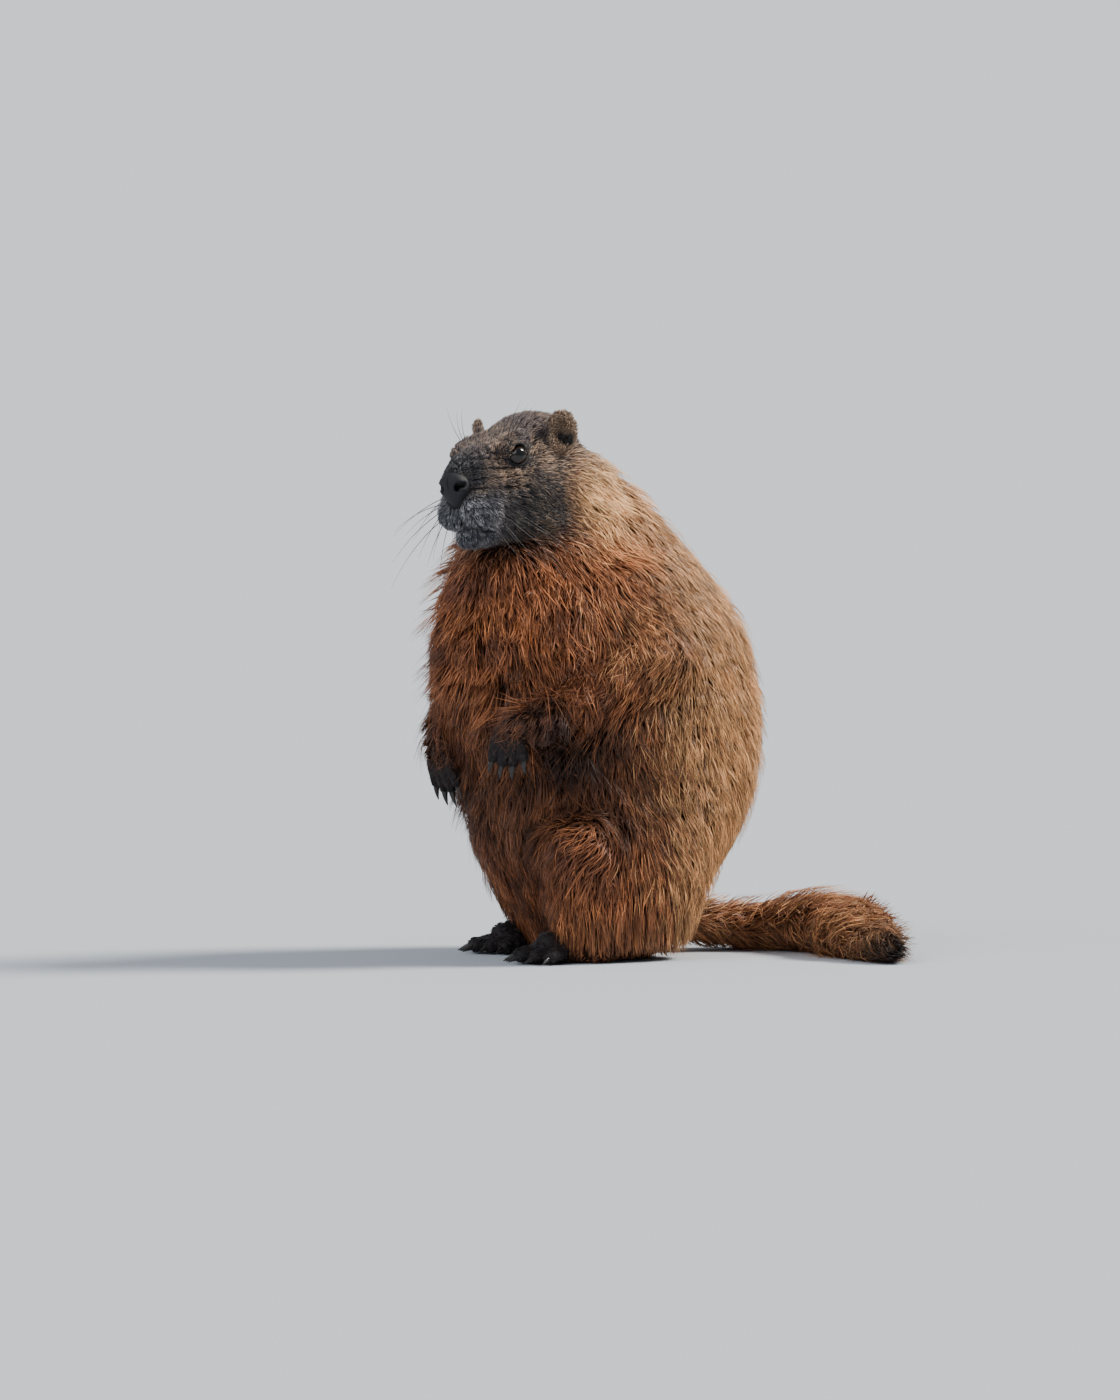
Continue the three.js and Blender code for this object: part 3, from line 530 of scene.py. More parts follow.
def halve_long_edges(points, faces, want, form):
    """Splits each edge longer than want(middle); a face with 1, 2 or 3 such edges becomes 2, 3 or 4 faces."""
    pairs = np.sort(np.concatenate([faces[:, [0, 1]], faces[:, [1, 2]], faces[:, [2, 0]]]), axis=1)
    edges, back = np.unique(pairs, axis=0, return_inverse=True)
    back = back.reshape(3, -1).T
    middle = points[edges].mean(1)
    long = np.linalg.norm(points[edges[:, 0]] - points[edges[:, 1]], axis=1) > want(middle)
    fresh = np.full(len(edges), -1)
    fresh[long] = len(points) + np.arange(long.sum())
    points = np.concatenate([points, to_level(form, middle[long], 0.0)])
    mid = fresh[back]
    split = (mid >= 0).sum(1)
    made = [faces[split == 0]]
    for turned in range(3):
        order = [(turned + k) % 3 for k in range(3)]
        one = (split == 1) & (mid[:, turned] >= 0)
        a, b, c = faces[one][:, order].T
        m = mid[one][:, turned]
        made += [np.stack([a, m, c], 1), np.stack([m, b, c], 1)]
        two = (split == 2) & (mid[:, (turned + 2) % 3] < 0)
        a, b, c = faces[two][:, order].T
        m, n = mid[two][:, turned], mid[two][:, (turned + 1) % 3]
        made += [np.stack([m, b, n], 1), np.stack([a, m, n], 1), np.stack([a, n, c], 1)]
    three = split == 3
    a, b, c = faces[three].T
    m, n, o = mid[three].T
    made += [np.stack(t, 1) for t in ((a, m, o), (m, b, n), (o, n, c), (m, n, o))]
    return points, np.concatenate(made)


EDGE_BODY, EDGE_FACE, EDGE_FINE = 4.6, 2.9, 0.95
NET_STEP = 2.4


def wanted_edge(p):
    """Longest edge allowed: EDGE_BODY, but EDGE_FACE on the face and EDGE_FINE at lids, lips and nose."""
    h = in_head(p)
    face = np.linalg.norm(h - (40, 0, -30), axis=-1) < 50
    eye = np.minimum(*(np.linalg.norm(p - (EYE_PLACES[s] + 4.0 * EYE_LOOK[s]), axis=-1) for s in SIDES))
    nose = np.linalg.norm(h - NOSE_AT, axis=-1)
    want = np.where(face, EDGE_FACE, EDGE_BODY)
    return np.where((eye < 10.5) | (from_lips(p) < 3) | (nose < 13), EDGE_FINE, want)


LOW, HIGH = (-100, -125, -6), (185, 170, 352)
verts, faces = surface_net(skin_form, LOW, HIGH, NET_STEP)
verts = to_level(skin_form, verts, 0.0, 2)
for _ in range(3):
    verts, faces = halve_long_edges(verts, faces, wanted_edge, skin_form)
print("skin:", len(verts), "vertices,", len(faces), "triangles")

# %% [markdown]
# Most markings belong to the animal, not to the picture, so they too are formulas of the place on the body:
# rust below and in front, grizzled buff on the back, a dark face with a pale chin, a cream patch behind the
# cheek,
# near-black paws and a tail that darkens to its tip. Some light and shade is painted into these colours as
# well:
# a painted shadow under the forearms, painted shade low on the front, in the hollows of the ears and on the
# skin between the tufts, and a painted highlight on the upper chest. The same formulas colour the skin and
# every tuft, so a gap in the coat never shows a wrong colour.

# %% Colours of skin and coat
def colour(*rgb):
    """A colour from 0-255 screen values as linear light."""
    c = np.array(rgb) / 255
    return np.where(c <= 0.04045, c / 12.92, ((c + 0.055) / 1.055) ** 2.4)


RUST, COPPER, GOLD = colour(118, 68, 44), colour(208, 130, 78), colour(242, 182, 122)
BROWN, UMBER, CREAM = colour(92, 55, 37), colour(46, 28, 22), colour(255, 208, 150)
FACE, CROWN, MUZZLE = colour(72, 64, 68), colour(70, 60, 64), colour(90, 91, 99)
PALE, PAW, TAIL_RUST = colour(190, 188, 188), colour(42, 34, 35), colour(162, 102, 68)
TAIL_DARK, BLACK, TAN = colour(92, 56, 40), colour(14, 11, 11), colour(166, 138, 112)
NOSE_FUR = colour(42, 41, 46)


# Spots of the head, each by its middle and its reach, forwards and up.
BUFF_PATCH = (-16, -38), (20, 34)
DARK_JAW = (25, -42), (22, 17)
UNDER_EYE = (44, -22), (9, 5)
BEHIND_EYE = (22, -14), (5, 7)


def spot(h, middle, reach):
    """Soft spot on the side of the head: exp(-a² - b²), a and b being the way from its middle / its reach."""
    return np.exp(-((h[:, 0] - middle[0]) / reach[0]) ** 2 - ((h[:, 2] - middle[1]) / reach[1]) ** 2)


def mix(a, b, share):
    """Colour a where share is 0 and b where it is 1."""
    return a + (b - a) * np.clip(share, 0, 1)[..., None]


def patchy(p, size, seed):
    """Slow random pattern from -1 to 1: a sum of sines along skewed directions."""
    r = np.random.default_rng(seed)
    ways, phases = r.normal(size=(7, 3)) / size, r.uniform(0, 6.28, 7)
    return np.sin(p @ ways.T * 2.2 + phases).sum(-1) / 3.2


def ear_share(h):
    """Share of the ears, and of the middle of the hollow in each, where shade is painted black, at places of
    the head.
    """
    out = np.abs(h[:, 1])
    q = np.stack([h[:, 0] - 3, out - 33, h[:, 2] - 1.5], 1)
    ear = smooth_step(18, 14, np.linalg.norm(q, axis=1)) * smooth_step(26.5, 29.5, out)
    facing = q @ np.array([0.643, 0.766, 0.0])
    dark = smooth_step(1.1, 0.75, np.hypot((q[:, 0] + 1) / 3.8, (q[:, 2] + 4.8) / 5.4))
    return ear, ear * dark * smooth_step(-2.5, -0.5, facing)


def wrist_share(p, start, end):
    """0 before start of the way from elbow to wrist, 1 from its end on."""
    share = np.zeros(len(p))
    for arm in ARMS:
        a, b = np.array(arm["points"][1], float), np.array(arm["points"][2], float)
        t = ((p - a) @ (b - a)) / ((b - a) @ (b - a))
        share = np.maximum(share, smooth_step(start, end, t) * (np.sign(p[:, 0]) == np.sign(a[0])))
    return share


def forearm_shadow_share(p):
    """Share of the painted shadow under the forearms, on the belly just beneath each, where the fur is also
    wet.
    """
    share = np.zeros(len(p))
    for arm in ARMS:
        a, b = np.array(arm["points"][1]) + (0, 10, -21), np.array(arm["points"][2]) + (0, 6, -13)
        share = np.maximum(share, smooth_step(15, 4, bar(p, a, b, 0, 0)))
    return share


def body_markings(p, weight, dice):
    """Colour at root and tip of the coat of trunk and limbs, and share of bright hairs."""
    y, z = p[:, 1], p[:, 2]
    h = in_head(p)
    n1, n2 = patchy(p, 22, 1), patchy(p, 7, 2)
    back = smooth_step(-50, 48, y + 10 * n1 + 0.10 * (z - 150))
    gold = 0.2 * back + 0.8 * (dice < back)
    root = mix(mix(RUST, UMBER, 0.5 + 0.3 * n1), BROWN, back)
    tip = mix(mix(RUST, COPPER, 0.5 + 0.4 * n2), GOLD, gold)
    bright = 0.34 + 0.3 * back
    # painted light: the upper chest, away from the back, is made brighter
    chest = (1 + 0.35 * smooth_step(185, 235, z) * (1 - back))[:, None]
    root, tip = root * chest, tip * chest
    # the buff patch behind the cheek, which turns orange downwards
    behind = np.clip(spot(h, *BUFF_PATCH) * smooth_step(4, 24, np.abs(h[:, 1])) * 1.5, 0, 1)
    tip = mix(tip, mix(CREAM * 1.12, COPPER * 1.15, smooth_step(-30, -84, h[:, 2])), behind)
    root = mix(root, mix(GOLD * 0.8, COPPER * 0.8, smooth_step(-20, -70, h[:, 2])), behind * 0.9)
    # painted shadow under the forearms, over fur that is wet there
    wet = np.clip(0.75 * forearm_shadow_share(p) * (weight[:, BODY] + weight[:, LEG]), 0, 1)
    # painted shade: the front is darker low down, above the thighs and below the chest
    low = 0.46 * smooth_step(180, 130, z) * smooth_step(70, 95, z) * smooth_step(40, -30, y)
    root *= (1 - wet - low)[:, None].clip(0.15, 1)
    tip *= (1 - 0.8 * wet - low)[:, None].clip(0.15, 1)
    return root, tip, bright + 0.35 * behind


def face_markings(p, dice):
    """The same for the head."""
    h = in_head(p)
    f, out, u = h[:, 0], np.abs(h[:, 1]), h[:, 2]
    n2 = patchy(p, 7, 2)
    fleck = (dice < 0.34 + 0.25 * n2).astype(float)
    root = mix(FACE * 0.5, CROWN * 0.5, smooth_step(-16, 4, u))
    crown = mix(CROWN * 0.9, TAN * 0.8, 0.1 + 0.5 * fleck)
    tip = mix(mix(FACE, TAN, 0.12 + 0.8 * fleck), crown, smooth_step(-14, 4, u))
    cheek = smooth_step(16, -8, f) * smooth_step(-10, -30, u)
    tip = mix(tip, mix(COPPER, CREAM, 0.3 + 0.6 * fleck), cheek * (0.4 + 0.5 * fleck))
    jaw = np.clip(1.7 * spot(h, *DARK_JAW), 0, 1)
    tip, root = mix(tip, mix(NOSE_FUR * 0.5, TAN * 0.5, 0.6 * fleck), jaw * 0.95), mix(root, BLACK, jaw * 0.8)
    pale = spot(h, *UNDER_EYE) + 0.8 * spot(h, *BEHIND_EYE)
    tip = mix(tip, TAN, pale * smooth_step(6, 14, out) * 0.8)
    snout = smooth_step(36, 60, f) * smooth_step(-28, -38, u)
    grizzle = mix(MUZZLE, PALE, 0.2 + 0.6 * fleck + 0.2 * n2)
    root, tip = mix(root, MUZZLE * 0.4, snout), mix(tip, grizzle, snout)
    chin = smooth_step(40, 52, f) * smooth_step(-52, -58, u)
    root, tip = mix(root, MUZZLE * 0.4, chin), mix(tip, mix(MUZZLE, PALE, 0.7 * fleck) * 0.8, chin)
    bridge = smooth_step(48, 66, f) * smooth_step(-36, -24, u)
    root, tip = mix(root, NOSE_FUR * 0.5, bridge), mix(tip, NOSE_FUR, bridge)
    ear, hollow = ear_share(h)
    root, tip = mix(root, BROWN * 0.8, ear), mix(tip, TAN * (0.6 + 0.4 * fleck)[:, None], ear)
    # painted shade: the middle of each ear's hollow is painted black
    return mix(root, BLACK, hollow), mix(tip, BLACK * 1.5, hollow)


def markings(p, weight, dice=None):
    """Colour at root and tip of the coat, and share of bright hairs; dice from 0 to 1 picks flecked hairs."""
    dice = np.full(len(p), 0.5) if dice is None else dice
    n2 = patchy(p, 7, 2)
    root, tip, bright = body_markings(p, weight, dice)
    face_root, face_tip = face_markings(p, dice)
    w = weight[:, HEAD]
    root, tip, bright = mix(root, face_root, w), mix(tip, face_tip, w), bright * (1 - w) + 0.6 * w
    # arms, paws and feet
    w = weight[:, ARM]
    root = mix(root, mix(RUST, UMBER, np.full(len(p), 0.6)), w * 0.6)
    tip = mix(tip, mix(RUST, COPPER, 0.4 + 0.4 * n2), w * 0.6)
    dark = np.maximum(np.maximum(weight[:, HAND], weight[:, FOOT]), w * wrist_share(p, 0.72, 0.98))
    root, tip = mix(root, PAW * 0.6, dark), mix(tip, PAW * 1.4, dark)
    # tail
    t, _ = tail_share(p)
    tail_root = mix(TAIL_DARK, BLACK * 1.6, smooth_step(0.5, 0.85, t))
    tail_tip = mix(TAIL_RUST, GOLD * 0.8, 0.2 + 0.6 * (dice < 0.4))
    tail_tip = mix(tail_tip, BLACK * 2, smooth_step(0.66, 0.96, t))
    w = weight[:, TAIL]
    return mix(root, tail_root, w), mix(tip, tail_tip, w), np.clip(bright, 0, 1)


def tail_share(p):
    """How far along the tail each point lies, and the tail's direction there."""
    a, b = TAIL_PATH[:-1], TAIL_PATH[1:]
    along = b - a
    t = np.clip(((p[:, None] - a) * along).sum(-1) / (along ** 2).sum(-1), 0, 1)
    gap = np.linalg.norm(p[:, None] - a - t[..., None] * along, axis=-1)
    i = gap.argmin(1)
    lengths = np.linalg.norm(along, axis=1)
    start = np.concatenate([[0], np.cumsum(lengths)[:-1]])
    share = (start[i] + t[np.arange(len(p)), i] * lengths[i]) / lengths.sum()
    return share, unit(along)[i]


def part_weights(p):
    """Share of each part at points, from exp(-distance/3), adding to 1."""
    d = part_distances(p, 1.0)
    w = np.exp(-(d - d.min(1, keepdims=True)) / 3)
    return w / w.sum(1, keepdims=True)


# %% Making meshes
def new_mesh(name, points, faces, colours=None, uv=None, smooth=True):
    """An object from points in plan millimetres and triangles, with colours a vertex and uv a corner."""
    mesh = bpy.data.meshes.new(name)
    faces = np.asarray(faces, np.int32)
    mesh.vertices.add(len(points))
    mesh.vertices.foreach_set("co", ((np.asarray(points) + SHIFT) * MM).astype(np.float32).ravel())
    mesh.loops.add(faces.size)
    mesh.loops.foreach_set("vertex_index", faces.ravel())
    mesh.polygons.add(len(faces))
    mesh.polygons.foreach_set("loop_start", np.arange(0, faces.size, faces.shape[1], dtype=np.int32))
    mesh.polygons.foreach_set("use_smooth", np.full(len(faces), smooth))
    mesh.update(calc_edges=True)
    if colours is not None:
        tint = mesh.attributes.new("tint", "FLOAT_COLOR", "POINT")
        four = np.column_stack([colours, np.ones(len(points))])
        tint.data.foreach_set("color", four.astype(np.float32).ravel())
    if uv is not None:
        mesh.uv_layers.new(name="OFBake").data.foreach_set("uv", np.asarray(uv, np.float32).ravel())
    piece = bpy.data.objects.new(name, mesh)
    bpy.context.scene.collection.objects.link(piece)
    return piece


def box_middle(node):
    return np.mean([np.array(c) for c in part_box(node)], axis=0)


SHIFT = box_middle("eye_left") / MM - EYE_PLACES[1]
weights = part_weights(verts)
root_colour, _, _ = markings(verts, weights)
# painted shade: black in the middle of each ear's hollow
ear_skin, ear_hollow_shade = ear_share(in_head(verts))
# painted shade: the skin is painted darker than the roots, so that gaps in the coat look deep
skin_colour = mix(mix(root_colour * 0.55, TAN * 0.35, ear_skin * weights[:, HEAD]), BLACK, ear_hollow_shade)
lids = from_eyes(verts) < EYE_RADIUS + LID_THICK + 0.4
lips = from_lips(verts, 0.6) < 1.8
nose_seat = nose_bulk(verts) < 2.0
skin_colour[lids | lips | nose_seat] = BLACK * 1.2
skin = new_mesh("skin", verts, faces, skin_colour)
print("plan is shifted by", np.round(SHIFT, 2), "mm; skin colours", np.round(skin_colour.mean(0), 3))

# %% [markdown]
# The coat needs a place on a flat map for each tuft, so the skin is unwrapped once and every tuft takes the
# spot of its root. Its whole colour then fits into a tiny patch of the map.

# %% Unwrapping the skin
bpy.context.view_layer.objects.active = skin
skin.select_set(True)
bpy.ops.object.mode_set(mode="EDIT")
bpy.ops.mesh.select_all(action="SELECT")
bpy.ops.uv.smart_project(angle_limit=1.15, island_margin=0.002)
bpy.ops.object.mode_set(mode="OBJECT")
skin.data.uv_layers[0].name = "OFBake"
flat = np.empty(len(faces) * 6, np.float32)
skin.data.uv_layers[0].data.foreach_get("uv", flat)
flat = flat.reshape(-1, 3, 2)
order = np.empty(len(faces) * 3, np.int32)
skin.data.loops.foreach_get("vertex_index", order)
faces = order.reshape(-1, 3)
print("unwrapped", len(faces), "faces; map from", flat.min(), "to", flat.max())

# %% [markdown]
# Each tuft is a thin closed blade: two or three cross-sections of three corners, and a point. Its root is
# sunk a little, its middle rises and its tip ends near the outline of the animal, which keeps the figure's
# true silhouette. Wet fur gathers in bundles, so the tips of neighbours are drawn together. Hair curves
# would be quicker to make, but blades are a real surface that any program can read and bake.

# %% The lie of the fur
def lie_of_fur(p, normal, weight):
    """Direction of the fur: a mix of each part's own lie, laid flat against the skin."""
    h = in_head(p)
    away = unit(p - head_point(74, 0, -24))
    one = np.ones(len(p))
    on_trunk = unit(np.stack([0.10 * np.sign(p[:, 0]), np.where(p[:, 2] > 245, 0.45, 0.10), -one], 1))
    on_head = unit(away - 0.25 * HEAD_UP * smooth_step(0, -40, h[:, 2])[:, None] - 0.15 * FORWARD)
    ear, _ = ear_share(h)
    on_head = unit(on_head * (1 - ear)[:, None] + (0.8 * HEAD_UP - 0.4 * FORWARD) * ear[:, None])
    arm_way, hand_way = np.zeros_like(p), np.zeros_like(p)
    for arm in ARMS:
        mine = (np.sign(p[:, 0]) == np.sign(arm["points"][0][0]))[:, None]
        a = np.array(arm["points"], float)
        upper = bar(p, a[0], a[1], 0, 0) < bar(p, a[1], a[2], 0, 0)
        way = np.where(upper[:, None], unit(a[1] - a[0]), unit(a[2] - a[1]) + (0, 0, -0.3))
        arm_way += mine * way
        hand_way += mine * unit(0.5 * unit(a[3] - a[2]) + unit(np.array(arm["digit"], float)))
    on_leg = unit(np.stack([0.05 * p[:, 0] / 60, -0.10 - 3.0 * smooth_step(0.0, 0.7, normal[:, 2]), -one], 1))
    on_foot = np.tile((0.0, -1.0, -0.15), (len(p), 1))
    _, on_tail = tail_share(p)
    ways = np.stack([on_trunk, on_head, arm_way, hand_way, on_leg, on_foot, on_tail], 1)
    way = (ways * weight[..., None]).sum(1)
    return unit(way - (way * normal).sum(1, keepdims=True) * normal)


def scatter(expected):
    """Roots spread over the skin: so many on each face, each at a random place in it."""
    corner = verts[faces]
    cross = np.cross(corner[:, 1] - corner[:, 0], corner[:, 2] - corner[:, 0])
    picked = np.floor(expected + rng.random(len(faces))).astype(int)
    face = np.repeat(np.arange(len(faces)), picked)
    a, b = rng.random((2, len(face)))
    over = a + b > 1
    a[over], b[over] = 1 - a[over], 1 - b[over]
    share = np.stack([1 - a - b, a, b], 1)[..., None]
    return (corner[face] * share).sum(1), unit(cross[face]), (flat[face] * share).sum(1)


def furred(p):
    """1 where fur grows; 0 on lids, lips, the nose's seat, the hollow of the ears and the soles."""
    h = in_head(p)
    _, hollow = ear_share(h)
    bare = (from_eyes(p) < EYE_RADIUS + LID_THICK + 0.7) | (from_lips(p, 0.8) < 1.0) | (p[:, 2] < 1.2)
    bare |= (nose_bulk(p) < 0.75) & (h[:, 2] < -21.0)
    return np.where(bare, 0.0, 1 - 0.85 * smooth_step(0.6, 1.0, hollow))


# %% [markdown]
# There are two kinds of hair. The under coat is dense, broad, dark and lies deep; the guard hairs are thin,
# long and bright, and stand out a little. Wet fur gathers in bundles, so neighbours share one lift and lean
# towards one middle. The number of tufts follows from a budget of triangles.

# %% Two coats
#                    trunk head  arm  hand  leg  foot  tail
UNDER = dict(length=(15.0, 6.0, 11.0, 1.8, 15.0, 2.2, 22.0), width=(1.6, 0.85, 1.4, 0.6, 1.6, 0.6, 1.7),
             density=(0.19, 0.62, 0.24, 0.85, 0.19, 0.60, 0.24), swing=0.24, levels=(-0.62, -0.38, -0.28),
             light=(0.60, 0.85), dark=0.62)
GUARD = dict(length=(28.0, 8.4, 18.0, 2.2, 27.0, 2.4, 42.0), width=(0.62, 0.42, 0.58, 0.30, 0.62, 0.30, 0.7),
             density=(0.18, 0.95, 0.30, 0.50, 0.18, 0.40, 0.34), swing=0.20, levels=(-0.46, -0.12, 0.0),
             light=(0.6, 1.45), dark=0.75)
SHORT_PARTS = (HEAD, HAND, FOOT)
TRIANGLES = {2: 10, 3: 16}
BUDGET = 1.48e6 * 1.0
PATCH = 0.003


def expected_tufts(coat):
    """Tufts of one coat on each face of the skin, and their triangles in all."""
    corner = verts[faces]
    area = np.linalg.norm(np.cross(corner[:, 1] - corner[:, 0], corner[:, 2] - corner[:, 0]), axis=1) / 2
    centre = corner.mean(1)
    w = part_weights(centre)
    muzzle = smooth_step(30, 52, in_head(centre)[:, 0]) * w[:, HEAD]
    each = area * (w @ np.array(coat["density"])) * (1 + 0.6 * muzzle) * furred(centre)
    rings = np.where(np.isin(w.argmax(1), SHORT_PARTS), 2, 3)
    return each, (each * np.where(rings == 2, TRIANGLES[2], TRIANGLES[3])).sum()


def blade_faces(rings):
    """Faces of a blade of so many three-cornered sections and a point."""
    made = [(0, 1, 2)]
    for k in range(0, 3 * (rings - 1), 3):
        for a, b in ((0, 1), (1, 2), (2, 0)):
            made += [(k + a, k + b + 3, k + b), (k + a, k + a + 3, k + b + 3)]
    last = 3 * (rings - 1)
    return np.array(made + [(last + a, last + 3, last + b) for a, b in ((0, 1), (1, 2), (2, 0))])


def stand_out(p, weight):
    """How far in millimetres tips may leave the outline: most on the chest, less on tail, nape and limbs."""
    chest = smooth_step(-25, -65, p[:, 1]) * smooth_step(50, 160, p[:, 2]) * smooth_step(290, 262, p[:, 2])
    nape = smooth_step(262, 285, p[:, 2]) * smooth_step(-60, -35, p[:, 1])
    body = weight[:, BODY] + weight[:, ARM] + weight[:, LEG]
    ear, _ = ear_share(in_head(p))
    on_head = weight[:, HEAD] * 0.9 * (1 - ear)
    return body * (4.5 + 11.0 * chest + 6.0 * nape) + weight[:, TAIL] * 9.0 + on_head


PATH_SHARES = (0.36, 0.7, 1.0)


def tuft_sizes(coat, roots, near):
    """Length and width of each tuft, and how closely it hugs the skin of wrist and hand."""
    h = in_head(roots)
    muzzle = smooth_step(20, 56, h[:, 0]) * near[:, HEAD]
    throat = smooth_step(-34, -54, h[:, 2]) * (1 - muzzle)
    nape = np.maximum(smooth_step(8, -26, h[:, 0]), throat) * near[:, HEAD]
    length = near @ np.array(coat["length"]) * rng.uniform(0.7, 1.25, len(roots))
    length *= (1 - 0.6 * muzzle) * (1 + 1.2 * nape) * (1 - 0.72 * near[:, HEAD] * ear_share(h)[0])
    hug = np.maximum(near[:, HAND], near[:, ARM] * wrist_share(roots, 0.45, 0.85))
    length *= 1 - 0.72 * hug * near[:, ARM]
    length *= 1 - 0.55 * smooth_step(16, 9, from_eyes(roots))
    width = near @ np.array(coat["width"]) * (1 - 0.2 * muzzle) * rng.uniform(0.75, 1.25, len(roots))
    return length, width, hug


def gather(roots, normals, near):
    """Bundles of wet fur: the lift, lean and tone that neighbours share, and their pull to its middle.

    A tuft's bundle is the wavy cell it stands in; cells are wider on the chest, narrower on head and hands.
    """
    size = (7.5 + 4 * smooth_step(-40, -80, roots[:, 1])) * (1 - 0.5 * near[:, HEAD] - 0.5 * near[:, HAND])
    waves = 2.5 * np.sin(roots[:, [1, 2, 0]] / 9)
    cell = np.floor((roots + (13, 37, 71) + waves) / size[:, None]).astype(int)
    bundle = np.unique(cell @ np.array([1, 4096, 4096 * 4096]), return_inverse=True)[1].ravel()
    members = np.bincount(bundle)
    centres = np.stack([np.bincount(bundle, roots[:, k]) for k in range(3)], 1) / members[:, None]
    lift = rng.random(len(members))[bundle]
    lean = rng.normal(0, 0.16, len(members))[bundle]
    tone = rng.normal(0, 0.2, len(members))[bundle]
    spike = smooth_step(0.62, 0.85, lift)
    pull = (centres[bundle] - roots) * (0.75 + 0.25 * spike - 0.4 * near[:, HEAD])[:, None]
    pull -= (pull * normals).sum(1, keepdims=True) * normals
    return lift, lean, tone, spike, pull


def tuft_paths(coat, roots, normals, near, lie, length, hug, lift, spike, pull):
    """Places of each tuft along its length, and the share that hangs as a fringe above the floor.

    Each place lies at its own level between the skin and the outline of the animal; on the ears it follows
    the skin instead.
    """
    count = len(roots)
    depth = np.clip(-figure(roots), 0.5, 12)
    rise = stand_out(roots, near) * (spike * rng.uniform(0.75, 1.0, count) + 0.12 * rng.random(count))
    rise *= 1.0 if coat is GUARD else 0.5 + 0.25 * spike
    hang = smooth_step(56, 30, roots[:, 2]) * (near[:, BODY] + near[:, LEG])
    hang *= smooth_step(22, 36, roots[:, 0])
    hang *= smooth_step(44, 18, roots[:, 1]) * 0.85
    outward = unit(normals * (1, 1, 0) + 1e-6)
    drop = roots[:, 2] - rng.uniform(1.5, 22, count)
    on_ear = ear_share(in_head(roots))[0] * near[:, HEAD]
    place = {0.0: roots - normals}
    for k, share in enumerate(PATH_SHARES):
        along = lie * (length * share)[:, None]
        level = (coat["levels"][k] * (1 - hug) - 0.5 * hug) * depth + rise * share ** 2
        free = to_level(figure, roots + along + pull * share, level, 2 if k == 2 else 1)
        fringe = roots + outward * (depth * 0.45 + 3 * lift)[:, None] * share ** 0.5 + pull * share
        fringe[:, 2] = roots[:, 2] - np.maximum(drop, 2) * share
        free = free + (fringe - free) * hang[:, None]
        free = mix(free, roots + along + normals * (0.2 + 0.8 * share), on_ear)
        free[:, 2] = np.maximum(free[:, 2], 0.5)
        place[share] = free
    return place, hang


def tuft_colours(coat, roots, near, tone, hang):
    """Colours of each tuft at its root and its tip."""
    count = len(roots)
    dark, light, bright = markings(roots, near, rng.random(count) if coat is GUARD else None)
    shade = np.clip(rng.normal(1, 0.15, count) + tone, 0.45, 1.6)[:, None]
    shine = np.where(rng.random(count) < bright, coat["light"][1], coat["light"][0])[:, None]
    if coat is GUARD:
        light = mix(light, GOLD * 0.8, hang * rng.random(count) * 0.6)
    return dark * coat["dark"] * shade, light * shine * shade


def grow(coat, scale):
    """Blades of one coat by group and number of sections: their points, colours and places on the map."""
    each, _ = expected_tufts(coat)
    roots, normals, spots = scatter(each * scale)
    near = part_weights(roots)
    length, width, hug = tuft_sizes(coat, roots, near)
    lift, lean, tone, spike, pull = gather(roots, normals, near)
    full = near @ np.array(coat["length"]) * 1.05
    length += (full - length) * 0.6 * spike * (near[:, BODY] + near[:, LEG])
    lie = lie_of_fur(roots, normals, near)
    swing = rng.normal(0, coat["swing"], len(roots)) + lean + 0.16 * patchy(roots, 26, 5)
    lie = unit(lie + np.cross(normals, lie) * (swing * (1 - 0.45 * near[:, HEAD]))[:, None])
    place, hang = tuft_paths(coat, roots, normals, near, lie, length, hug, lift, spike, pull)
    dark, light = tuft_colours(coat, roots, near, tone, hang)
    kind = near.argmax(1)
    rings = np.where(np.isin(kind, SHORT_PARTS), 2, 3)
    for name in dict.fromkeys(GROUPS):
        for sections in (2, 3):
            mine = np.flatnonzero((np.array(GROUPS)[kind] == name) & (rings == sections))
            if len(mine):
                yield name, sections, blades(mine, sections, place, normals, width, dark, light, spots)


def blades(mine, sections, place, normals, width, dark, light, spots):
    """Points, colours and map places of the blades numbered mine, each array with one row a blade."""
    shares = (0.0, *PATH_SHARES[3 - sections:])
    taper = (0.7, 1.0, 0.66) if sections == 3 else (0.85, 0.9)
    path = np.stack([place[share][mine] for share in shares], 1)
    along = unit(path[:, 1:] - path[:, :-1])
    across = unit(np.cross(along, normals[mine][:, None]))
    ridge = np.cross(across, along)
    half = (width[mine][:, None] * np.array(taper) / 2)[..., None]
    base = path[:, :-1]
    ring = np.stack([base + across * half, base + ridge * half * 0.6, base - across * half], 2)
    points = np.concatenate([ring.reshape(len(mine), -1, 3), path[:, -1:]], 1)
    up = np.append(np.repeat(shares[:-1], 3), 1.0)
    over = np.append(np.tile((0, 0.5, 1), sections), 0.5)
    ramp = smooth_step(0.12, 0.95, up)[None, :, None]
    colours = dark[mine][:, None] * (1 - ramp) + light[mine][:, None] * ramp
    places = spots[mine][:, None] + PATCH * (np.stack([over, up], 1) - 0.5)
    return points, colours, places


